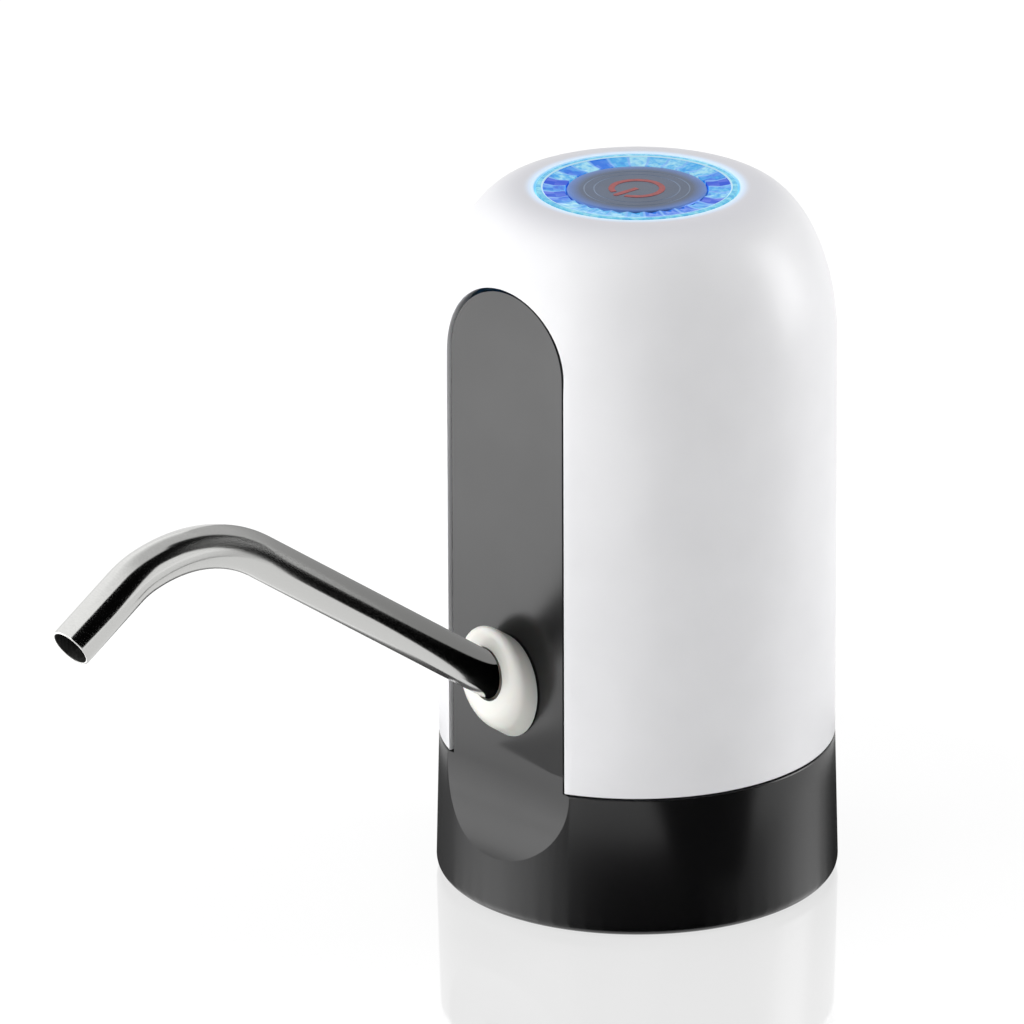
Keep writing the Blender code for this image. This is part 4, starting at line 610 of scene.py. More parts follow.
def finishes(axis: Vector, ring: "LampRing", button: "PowerButton") -> dict[Slot, bpy.types.Material]:
    """Make one material for each of the record's slots.

    Args:
        axis: Where the body's axis meets the ground.
        ring: The lamp ring, whose sizes the lit plastics follow.
        button: The button, whose sizes its own finish follows.

    Returns:
        Slot to material.
    """
    along_x = Vector((1, 0, 0))
    white = LampLitPlastic("moulded_white_abs", "#F1F1F3", "#EDEDEF", 0.38, axis=axis,
                           ring_radius=ring.outer_radius, crown_height=ring.top)
    chosen = {
        Slot.WHITE: white,
        # A deep black with a finer grain than the rest, so it mirrors softly.
        Slot.DARK: MouldedPlastic("moulded_black_abs", "#101011", "#0D0D0E", 0.25, grain_size=0.3 * MM,
                                  grain_depth=0.002 * MM),
        # A warm white that lets a little light in, so its shadows are soft.
        Slot.COLLAR: MouldedPlastic("moulded_ivory_acetal", "#F2F1EC", "#ECEBE4", 0.30, subsurface=0.15),
        # Undyed, so it is milky and a little yellow.
        Slot.INNER: MouldedPlastic("natural_nylon", "#D9D6CC", "#CFCBBE", 0.48, subsurface=0.1),
        # Glass fibres reach its skin and make it dull.
        Slot.PUMP: MouldedPlastic("glass_filled_nylon", "#2A2D31", "#202226", 0.45,
                                  grain_depth=0.01 * MM),
        # Light goes deep into it, so it is cloudy with a soft sheen.
        Slot.SILICONE: MouldedPlastic("milky_silicone", "#D6DBDB", "#C8CECE", 0.42, grain_size=0.8 * MM,
                                      ior=1.42, subsurface=0.4),
        # Soot in the rubber leaves it dull black.
        Slot.SEAL: MouldedPlastic("nitrile_rubber", "#1E1E1F", "#171718", 0.62),
        # Buffed round the tube, so it mirrors the set with edges that are a little blurred.
        Slot.STAINLESS: DrawnSteel("polished_stainless", "#D4D4D2", "#CACAC8", 0.14, 0.12 * MM, along_x,
                                   0.0015 * MM),
        # Brushed, so a highlight spreads out across the lines.
        Slot.SATIN: DrawnSteel("satin_stainless", "#BDBDBB", "#A6A6A4", 0.36, 0.1 * MM, along_x,
                               0.002 * MM, anisotropic=0.4),
        # Plated in a barrel, which leaves a bright grey with a slight haze.
        Slot.ZINC: DrawnSteel("zinc_plated_steel", "#BFC2C0", "#A9ADAC", 0.34, 0.3 * MM, UP, 0.004 * MM),
        Slot.RING: LitCrystal(axis, ring.facets, ring.band_radius),
        Slot.BUTTON: BlastedAluminium(axis, button.radius, button.grooves),
        Slot.BOARD: CircuitLaminate(),
        # Tinted casting resin with a shiny dome.
        Slot.LAMP: MouldedPlastic("blue_lamp_epoxy", "#9CC4FF", "#7FB0FF", 0.2, ior=1.55),
        # Filled with silica, which makes it matte.
        Slot.CHIP: MouldedPlastic("moulded_chip_epoxy", "#1B1B1D", "#141416", 0.5),
        # Film that shrinks on stays glossy and ripples slightly.
        Slot.CELL: MouldedPlastic("shrunk_blue_film", "#1D4C94", "#184180", 0.3, grain_size=2.2 * MM,
                                  grain_depth=0.02 * MM),
        # The cutter leaves a fine waxy matte.
        Slot.GEAR: MouldedPlastic("machined_acetal", "#E6E4DC", "#DAD7CD", 0.36, subsurface=0.1),
        # Soft vinyl with an even, slight shine.
        Slot.WIRE: MouldedPlastic("red_wire_jacket", "#A3191A", "#8C1314", 0.42),
    }
    return {slot: finish.material() for slot, finish in chosen.items()}


def free_hands() -> None:
    """Return to object mode with nothing selected."""
    if bpy.context.object and bpy.context.object.mode != "OBJECT":
        bpy.ops.object.mode_set(mode="OBJECT")
    bpy.ops.object.select_all(action="DESELECT")


def take(piece: bpy.types.Object) -> None:
    """Make one piece the selected and active one.

    Args:
        piece: The piece.
    """
    free_hands()
    piece.select_set(True)
    bpy.context.view_layer.objects.active = piece


def start_at(name: str, point: Vector) -> bpy.types.Object:
    """Start a piece as a single vertex, left selected in edit mode.

    Args:
        name: The piece's name.
        point: Where its first corner lies.

    Returns:
        The new piece.
    """
    free_hands()
    bpy.context.tool_settings.mesh_select_mode = (True, False, False)
    bpy.ops.mesh.primitive_plane_add(size=MM)
    piece = bpy.context.object
    piece.name = name
    piece.data.name = name
    bpy.ops.object.mode_set(mode="EDIT")
    bpy.ops.mesh.select_all(action="SELECT")
    bpy.ops.mesh.merge(type="CENTER")
    bpy.ops.transform.translate(value=point)
    return piece


def draw_line(points: list[Vector], closed: bool) -> None:
    """Draw edges from the selected vertex through points, in edit mode.

    Args:
        points: All the corners, of which the first is the selected vertex.
        closed: Whether the line returns to its start.
    """
    ends = points[1:] + points[:1] if closed else points[1:]
    for start, end in zip(points, ends):
        bpy.ops.mesh.extrude_region_move(TRANSFORM_OT_translate={"value": end - start})
    bpy.ops.mesh.select_all(action="SELECT")
    bpy.ops.mesh.remove_doubles(threshold=MERGE)


def close_up() -> None:
    """Merge doubles, turn all faces outwards and leave edit mode."""
    bpy.ops.mesh.select_all(action="SELECT")
    bpy.ops.mesh.remove_doubles(threshold=MERGE)
    bpy.ops.mesh.normals_make_consistent(inside=False)
    bpy.ops.object.mode_set(mode="OBJECT")


def turned(name: str, profile: list[Point], steps: int) -> bpy.types.Object:
    """Turn a profile about the Z axis, as on a lathe.

    Args:
        name: The piece's name.
        profile: (radius, height) corners. One that starts on the axis ends there too.
        steps: Facets round the circle.

    Returns:
        The turned piece, still about the world's own axis.
    """
    points = [Vector((radius, 0, height)) for radius, height in profile]
    piece = start_at(name, points[0])
    draw_line(points, closed=profile[0][0] > 0)
    bpy.ops.mesh.spin(steps=steps, angle=FULL_TURN, center=(0, 0, 0), axis=UP)
    close_up()
    return piece


def plate(name: str, corners: list[Vector], thickness: Vector) -> bpy.types.Object:
    """Fill a flat outline and extrude it.

    Args:
        name: The piece's name.
        corners: The outline in order.
        thickness: How far and which way it is extruded.

    Returns:
        The solid.
    """
    piece = start_at(name, corners[0])
    draw_line(corners, closed=True)
    bpy.ops.mesh.edge_face_add()
    bpy.ops.mesh.extrude_region_move(TRANSFORM_OT_translate={"value": thickness})
    close_up()
    return piece


def flat_sheet(name: str, corners: list[Vector], facing: Vector) -> bpy.types.Object:
    """Fill a flat outline and leave it as a sheet.

    Args:
        name: The sheet's name.
        corners: The outline in order.
        facing: Which way its front looks.

    Returns:
        The sheet.
    """
    sheet = start_at(name, corners[0])
    draw_line(corners, closed=True)
    bpy.ops.mesh.edge_face_add()
    bpy.ops.object.mode_set(mode="OBJECT")
    if sheet.data.polygons[0].normal.dot(facing) < 0:
        sheet.data.flip_normals()
    return sheet


def bend(points: list[Point], start: Point, radius_x: float, radius_y: float, first: float, last: float,
         steps: int) -> list[Point]:
    """Add the points of an arc to an outline.

    Args:
        points: The outline so far.
        start: The arc's centre.
        radius_x: Its first radius.
        radius_y: Its second radius.
        first: The angle that it starts at.
        last: The angle that it ends at.
        steps: Pieces that it is divided into.

    Returns:
        The longer outline.
    """
    x, y = start
    angles = [first + (last - first) * step / steps for step in range(steps + 1)]
    return points + [(x + radius_x * math.cos(angle), y + radius_y * math.sin(angle)) for angle in angles]


def carve(piece: bpy.types.Object, tool: bpy.types.Object, carving: Carving = Carving.AWAY) -> None:
    """Cut a piece with a tool, or fuse the tool to it, and put the tool away.

    Args:
        piece: The piece.
        tool: The tool, which is gone afterwards.
        carving: Whether the tool cuts or joins.
    """
    take(piece)
    change = piece.modifiers.new("carving", "BOOLEAN")
    change.operation = carving.value
    change.solver = "EXACT"
    change.object = tool
    bpy.ops.object.modifier_apply(modifier=change.name)
    bpy.data.objects.remove(tool)


def soften(piece: bpy.types.Object, width: float, segments: int = 2, sharper_than: float = 40.0,
           where: Callable[[Vector], bool] | None = None) -> None:
    """Round the sharp edges of a piece.

    Args:
        piece: The piece.
        width: The rounding's width.
        segments: Its steps.
        sharper_than: The least angle in degrees between the faces at a rounded edge.
        where: A test of an edge's middle that picks the edges, or None for all.
    """
    take(piece)
    bpy.ops.object.mode_set(mode="EDIT")
    bpy.context.tool_settings.mesh_select_mode = (False, True, False)
    bpy.ops.mesh.select_all(action="DESELECT")
    shape = bmesh.from_edit_mesh(piece.data)
    for edge in shape.edges:
        middle = (edge.verts[0].co + edge.verts[1].co) / 2
        sharp = len(edge.link_faces) == 2 and edge.calc_face_angle(0) > math.radians(sharper_than)
        edge.select_set(sharp and (where is None or where(middle)))
    bmesh.update_edit_mesh(piece.data)
    bpy.ops.mesh.bevel(offset=width, segments=segments, clamp_overlap=True)
    bpy.ops.object.mode_set(mode="OBJECT")


def tidy_small_edges(piece: bpy.types.Object, distance: float) -> None:
    """Merge the slivers that a cut leaves, so that its edge can be rounded.

    Args:
        piece: The piece.
        distance: The length under which an edge is a sliver.
    """
    take(piece)
    bpy.ops.object.mode_set(mode="EDIT")
    bpy.ops.mesh.select_all(action="SELECT")
    bpy.ops.mesh.remove_doubles(threshold=distance)
    bpy.ops.mesh.dissolve_degenerate(threshold=distance)
    bpy.ops.object.mode_set(mode="OBJECT")


def drum(radius: float, low: float, high: float, centre: Point = (0, 0), steps: int = 48
         ) -> bpy.types.Object:
    """Make a round tool that stands upright.

    Args:
        radius: Its radius.
        low: Height of its lower end.
        high: Height of its upper end.
        centre: Where its axis stands.
        steps: Facets round it.

    Returns:
        The tool.
    """
    free_hands()
    bpy.ops.mesh.primitive_cylinder_add(
        vertices=steps, radius=radius, depth=high - low, location=(*centre, (low + high) / 2),
    )
    tool = bpy.context.object
    bpy.ops.object.transform_apply(location=True, rotation=True, scale=True)
    return tool


def put(piece: bpy.types.Object, place: Matrix) -> None:
    """Move a piece and keep its place in its mesh.

    Args:
        piece: The piece, which sits at the origin.
        place: Where it goes.
    """
    take(piece)
    piece.matrix_world = place
    bpy.ops.object.transform_apply(location=True, rotation=True, scale=True)


def twin(piece: bpy.types.Object, name: str, place: Matrix) -> bpy.types.Object:
    """Copy a piece with its own mesh and move the copy.

    Args:
        piece: The piece that is copied.
        name: The copy's name.
        place: Where the copy goes.

    Returns:
        The copy.
    """
    take(piece)
    bpy.ops.object.duplicate()
    copy = bpy.context.object
    copy.name = name
    copy.data.name = name
    put(copy, place)
    return copy


def slot_outline(half_x: float, half_y: float, corner: float, steps: int) -> list[Point]:
    """Draw a rectangle with round corners about the origin.

    Args:
        half_x: Half its width.
        half_y: Half its height.
        corner: The corners' radius.
        steps: Pieces that a corner is divided into.

    Returns:
        Its outline, anticlockwise from the corner at the upper right.
    """
    outline: list[Point] = []
    x, y = half_x - corner, half_y - corner
    for turn, centre in enumerate(((x, y), (-x, y), (-x, -y), (x, -y))):
        outline = bend(outline, centre, corner, corner, turn * QUARTER_TURN, (turn + 1) * QUARTER_TURN,
                       steps)
    return outline


@dataclass
class Assembly:
    """A sub-assembly that builds its pieces, dresses them and hangs them on their bodies."""

    axis: Vector
    looks: dict[Slot, bpy.types.Material]

    def hang(self, piece: bpy.types.Object, slot: Slot, body: Body, stands_for: tuple[str, ...] = (),
             smooth: float = 30.0, look: bpy.types.Material | None = None) -> None:
        """Smooth a finished piece, dress it and let it ride on its body.

        Args:
            piece: The finished piece, already on the body's axis in the world.
            slot: The record's slot that its finish comes from.
            body: The CAD body that it moves with.
            stands_for: The CAD nodes that it replaces.
            smooth: Faces that meet at less than this many degrees are shaded as one.
            look: Its material where that isn't the slot's own.
        """
        take(piece)
        bpy.ops.object.shade_smooth_by_angle(angle=math.radians(smooth))
        if not piece.data.materials:
            piece.data.materials.append(look or self.looks[slot])
        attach(piece, body.value)
        if stands_for:
            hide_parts(*stands_for)
        LOG.info("%s rides on %s, %d faces", piece.name, body.value, len(piece.data.polygons))

    def stand(self, piece: bpy.types.Object) -> None:
        """Set a piece that was made about the world's axis on the body's own axis."""
        put(piece, Matrix.Translation(self.axis))


@dataclass
class Opening:
    """The arched opening in the shell's front, which the dark panel fills."""

    half_width: float = 15.28 * MM
    top: float = 120.33 * MM
    rise: float = 14.4 * MM
    steps: int = 48

    def block(self, name: str, clearance: float, bottom: float, back: float, front: float
              ) -> bpy.types.Object:
        """Make a solid with the opening's outline.

        Args:
            name: The solid's name.
            clearance: How much smaller it is than the opening all round.
            bottom: Height of its lower end.
            back: Its outward start.
            front: Its outward end.

        Returns:
            The solid.
        """
        half = self.half_width - clearance
        outline = bend([(-half, bottom), (half, bottom)], (0, self.top - self.rise), half,
                       self.rise - clearance, 0, math.pi, self.steps)
        corners = [Vector((x, -back, z)) for x, z in outline]
        return plate(name, corners, Vector((0, back - front, 0)))


@dataclass
class TopShell(Assembly):
    """White domed shell with its front opening, lugs and port slot."""

    opening: Opening
    radius: float = 36.5 * MM
    wall: float = 2.0 * MM
    height: float = 132.15 * MM
    seam: float = 27.05 * MM
    dome_height: float = 29.1 * MM
    dome_inset: float = 15.2 * MM
    ring_seat: float = 18.75 * MM
    ring_seat_height: float = 128.85 * MM
    skirt_seat: float = 17.2 * MM
    ledge: float = 2.0 * MM
    edge: float = 0.35 * MM
    window_edge: float = 0.25 * MM
    window_back: float = 28.75 * MM
    lug_circle: float = 26.8 * MM
    lug_radius: float = 3.2 * MM
    lug_low: float = 30.3 * MM
    lug_height: float = 12.0 * MM
    pilot_radius: float = 1.5 * MM
    pilot_top: float = 38.5 * MM
    web: float = 2.0 * MM
    port_half: Point = (4.75 * MM, 1.9 * MM)
    port_height: float = 45.1 * MM
    sliver: float = 0.06 * MM
    steps: int = 160
    dome_steps: int = 36
    pilot_steps: int = 24

    def profile(self) -> list[Point]:
        """Draw the wall's section.

        Returns:
            The section, from the seam up outside and down again inside.
        """
        inner = self.radius - self.wall
        crown = self.radius - self.dome_inset
        shoulder = self.height - self.dome_height
        points = bend([(inner, self.seam)], (self.radius - self.edge, self.seam + self.edge), self.edge,
                      self.edge, -QUARTER_TURN, 0, 4)
        points = bend(points, (crown, shoulder), self.dome_inset, self.dome_height, 0, QUARTER_TURN,
                      self.dome_steps)
        points = bend(points, (self.ring_seat + self.edge / 2, self.height - self.edge / 2),
                      self.edge / 2, self.edge / 2, QUARTER_TURN, math.pi, 3)
        points += [(self.ring_seat, self.ring_seat_height), (self.skirt_seat, self.ring_seat_height)]
        under = self.ring_seat_height - self.ledge
        points.append((self.skirt_seat, under))
        rise = (under - shoulder) / (self.dome_height - self.wall)
        reach = math.acos(rise)
        return bend(points, (crown - self.wall, shoulder), self.dome_inset, self.dome_height - self.wall,
                    QUARTER_TURN - reach, 0, self.dome_steps // 2)

    def build(self) -> None:
        """Make the shell."""
        shell = turned("shell_cover", self.profile(), self.steps)
        for number in range(4):
            self.add_lug(shell, QUARTER_TURN * (number + 0.5))
        window = self.opening.block("window", 0, self.seam - OVERRUN, self.window_back,
                                    self.radius + OVERRUN)
        carve(shell, window)
        half_x, half_z = self.port_half
        outline = slot_outline(half_x, half_z, half_z, 10)
        inner = self.radius - 2 * self.wall
        mouth = plate("mouth", [Vector((x, inner, self.port_height + z)) for x, z in outline],
                      Vector((0, 3 * self.wall, 0)))
        carve(shell, mouth)
        tidy_small_edges(shell, self.sliver)
        soften(shell, self.window_edge, where=self.on_window_rim)
        self.stand(shell)
        self.hang(shell, Slot.WHITE, Body.HOUSING, ("top_shell",))

    def add_lug(self, shell: bpy.types.Object, angle: float) -> None:
        """Fuse a screw lug and its web to the shell's inside and drill the lug's pilot hole.

        Args:
            shell: The shell.
            angle: Where the lug stands round the axis.
        """
        centre = (self.lug_circle * math.cos(angle), self.lug_circle * math.sin(angle))
        lug = drum(self.lug_radius, self.lug_low, self.lug_low + self.lug_height, centre)
        carve(shell, lug, Carving.ONTO)
        start, end, half = self.lug_circle, self.radius - self.wall / 2, self.web / 2
        outline = [(start, -half), (end, -half), (end, half), (start, half)]
        web = plate("web", [Vector((x, y, self.lug_low + GAP)) for x, y in outline],
                    Vector((0, 0, self.lug_height - 2 * GAP)))
        put(web, Matrix.Rotation(angle, 4, "Z"))
        carve(shell, web, Carving.ONTO)
        pilot = drum(self.pilot_radius, self.lug_low - OVERRUN, self.pilot_top, centre, self.pilot_steps)
        carve(shell, pilot)

    def on_window_rim(self, point: Vector) -> bool:
        """Find whether an edge lies on the outer rim of the front opening or of the port.

        Args:
            point: The edge's middle.

        Returns:
            Whether it does.
        """
        outside = Vector((point.x, point.y, 0)).length
        shoulder = self.height - self.dome_height
        rise = max(0.0, min(1.0, (point.z - shoulder) / self.dome_height))
        reach = self.radius - self.dome_inset + self.dome_inset * math.sqrt(1 - rise ** 2)
        near = reach - outside < self.wall / 3 and point.z > self.seam + self.edge
        return near and point.z < self.opening.top + self.wall


@dataclass
class BaseHousing(Assembly):
    """Black base, deck and front panel in one moulding, with the scoop under the panel."""

    opening: Opening
    spout_frame: Matrix
    radius: float = 36.5 * MM
    flare: float = 0.6 * MM
    foot: float = 2.5 * MM
    shoulder: float = 26.75 * MM
    shoulder_edge: float = 0.3 * MM
    deck_radius: float = 34.2 * MM
    deck_top: float = 30.0 * MM
    deck_bottom: float = 26.4 * MM
    dish_radius: float = 22.0 * MM
    dish_top: float = 27.0 * MM
    socket: float = 30.5 * MM
    socket_chamfer: float = 1.0 * MM
    panel: float = 32.75 * MM
    panel_thickness: float = 2.0 * MM
    panel_clearance: float = 0.85 * MM
    panel_root: float = 24.05 * MM
    scoop_radius: float = 32.0 * MM
    scoop_turn: float = math.radians(34)
    scoop_start: float = 27.05 * MM
    screw_circle: float = 26.8 * MM
    screw_hole: float = 1.5 * MM
    screw_seat: float = 2.5 * MM
    screw_seat_top: float = 28.5 * MM
    nipple_hole: float = 4.9 * MM
    nipple_y: float = 3.0 * MM
    passage: float = 6.0 * MM
    passage_depth: float = 16.0 * MM
    passage_front: float = 4.0 * MM
    socket_rim: float = 0.4 * MM
    pocket_inner: float = 31.9 * MM
    pocket_outer: float = 33.9 * MM
    pocket_depth: float = 21.0 * MM
    pocket_count: int = 10
    pocket_pitch: float = math.radians(29)
    pocket_span: float = math.radians(23)
    cup_x: float = 24.0 * MM
    cup_inner: float = 9.45 * MM
    cup_wall: float = 1.4 * MM
    cup_top: float = 34.0 * MM
    charge_post: Point = (5.4 * MM, 19.0 * MM)
    charge_post_radius: float = 2.2 * MM
    charge_post_top: float = 41.7 * MM
    stake_radius: float = 0.9 * MM
    stake_head: float = 1.7 * MM
    stake_low: float = 43.5 * MM
    stake_top: float = 44.2 * MM
    boss_x: float = 9.2 * MM
    boss_z: float = 7.6 * MM
    boss_centre: float = 42.43 * MM
    boss_radius: float = 1.5 * MM
    boss_head: float = 2.2 * MM
    boss_head_front: float = 28.35 * MM
    boss_head_back: float = 27.65 * MM
    steps: int = 160
    cup_steps: int = 48
    hole_steps: int = 32
    post_steps: int = 24

    def profile(self) -> list[Point]:
        """Draw the base's section.

        Returns:
            The section, from the dish's middle out to the foot and up to the deck.
        """
        foot = self.radius + self.flare
        points = [
            (0, self.dish_top), (self.dish_radius, self.dish_top), (self.dish_radius, self.deck_bottom),
            (self.socket - self.socket_chamfer, self.deck_bottom),
            (self.socket, self.deck_bottom - self.socket_chamfer),
        ]
        rim = self.socket_rim
        points = bend(points, (self.socket + rim, rim), rim, rim, math.pi, math.pi + QUARTER_TURN, 3)
        points = bend(points, (foot - self.foot, self.foot), self.foot, self.foot, -QUARTER_TURN, 0, 10)
        edge = self.shoulder_edge
        points = bend(points, (self.radius - edge, self.shoulder - edge), edge, edge, 0, QUARTER_TURN, 4)
        return points + [(self.deck_radius, self.shoulder), (self.deck_radius, self.deck_top),
                         (0, self.deck_top)]

    def build(self) -> None:
        """Make the base."""
        base = turned("base_moulding", self.profile(), self.steps)
        panel = self.opening.block("panel", self.panel_clearance, self.panel_root,
                                   self.panel - self.panel_thickness, self.panel + OVERRUN)
        carve(base, panel, Carving.ONTO)
        self.add_inner_details(base)
        carve(base, self.scoop())
        self.cut_deck(base)
        passage = turned("passage", [
            (0, -self.passage_depth), (self.passage, -self.passage_depth),
            (self.passage, self.passage_front), (0, self.passage_front),
        ], self.cup_steps)
        put(passage, self.spout_frame)
        carve(base, passage)
        for index in range(self.pocket_count):
            carve(base, self.rim_pocket(index))
        self.stand(base)
        self.hang(base, Slot.DARK, Body.HOUSING, ("base_housing",), smooth=24.0)

    def scoop(self) -> bpy.types.Object:
        """Make the tool that clears the panel's front and leaves the hollow at its foot.

        Returns:
            The tool.
        """
        far = self.radius + self.flare + OVERRUN
        hollow = bend([(self.panel, self.opening.top)],
                      (self.panel + self.scoop_radius, self.scoop_start), self.scoop_radius,
                      self.scoop_radius, math.pi, math.pi + self.scoop_turn, 40)
        hollow += [(far, hollow[-1][1]), (far, self.opening.top)]
        corners = [Vector((-self.radius, -outward, z)) for outward, z in hollow]
        return plate("scoop", corners, Vector((2 * self.radius, 0, 0)))

    def add_inner_details(self, base: bpy.types.Object) -> None:
        """Fuse the cell's cup, the charging board's posts and the socket's bosses to the base.

        Args:
            base: The base.
        """
        inside_deck = (self.deck_top + self.deck_bottom) / 2
        cup = turned("cup", [
            (self.cup_inner, inside_deck), (self.cup_inner + self.cup_wall, inside_deck),
            (self.cup_inner + self.cup_wall, self.cup_top), (self.cup_inner, self.cup_top),
        ], self.cup_steps)
        put(cup, Matrix.Translation((self.cup_x, 0, 0)))
        trim_inner = self.deck_radius - GAP
        trim = turned("trim", [(trim_inner, 0), (2 * trim_inner, 0), (2 * trim_inner, 2 * self.cup_top),
                               (trim_inner, 2 * self.cup_top)], self.steps)
        carve(cup, trim)
        carve(base, cup, Carving.ONTO)
        x, y = self.charge_post
        for side in (-1, 1):
            pin = turned("pin", [
                (0, inside_deck), (self.charge_post_radius, inside_deck),
                (self.charge_post_radius, self.charge_post_top),
                (self.stake_radius, self.charge_post_top),
                (self.stake_radius, self.stake_low), (self.stake_head, self.stake_low),
                (self.stake_head, self.stake_top), (0, self.stake_top),
            ], self.post_steps)
            put(pin, Matrix.Translation((side * x, y, 0)))
            carve(base, pin, Carving.ONTO)
        inside_panel = self.panel - self.panel_thickness / 2
        for side_x in (-1, 1):
            for side_z in (-1, 1):
                boss = turned("boss", [
                    (0, self.boss_head_back), (self.boss_head, self.boss_head_back),
                    (self.boss_head, self.boss_head_front), (self.boss_radius, self.boss_head_front),
                    (self.boss_radius, inside_panel), (0, inside_panel),
                ], self.post_steps)
                centre = Vector((side_x * self.boss_x, 0, self.boss_centre + side_z * self.boss_z))
                put(boss, Matrix.Translation(centre) @ Matrix.Rotation(QUARTER_TURN, 4, "X"))
                carve(base, boss, Carving.ONTO)

    def cut_deck(self, base: bpy.types.Object) -> None:
        """Cut the sunk screw holes and the nipple's hole in the deck.

        Args:
            base: The base.
        """
        low = self.deck_bottom - OVERRUN
        high = self.deck_top + OVERRUN
        for degrees in HOUSING_SCREWS + FRAME_SCREWS:
            angle = math.radians(degrees)
            hole = turned("hole", [
                (0, low), (self.screw_seat, low), (self.screw_seat, self.screw_seat_top),
                (self.screw_hole, self.screw_seat_top), (self.screw_hole, high), (0, high),
            ], self.hole_steps)
            put(hole, Matrix.Translation((self.screw_circle * math.cos(angle),
                                          self.screw_circle * math.sin(angle), 0)))
            carve(base, hole)
        carve(base, drum(self.nipple_hole, low, high, (0, self.nipple_y)))

    def rim_pocket(self, index: int) -> bpy.types.Object:
        """Make the tool for one of the cored-out pockets in the base's rim.

        Args:
            index: Which pocket, from 0.

        Returns:
            The tool.
        """
        first = QUARTER_TURN - self.pocket_pitch * (self.pocket_count - 1) / 2
        start = first + self.pocket_pitch * index - self.pocket_span / 2
        end = start + self.pocket_span
        outline = bend([], (0, 0), self.pocket_outer, self.pocket_outer, start, end, 8)
        outline = bend(outline, (0, 0), self.pocket_inner, self.pocket_inner, end, start, 8)
        corners = [Vector((x, y, -OVERRUN)) for x, y in outline]
        return plate("pocket", corners, Vector((0, 0, self.pocket_depth + OVERRUN)))


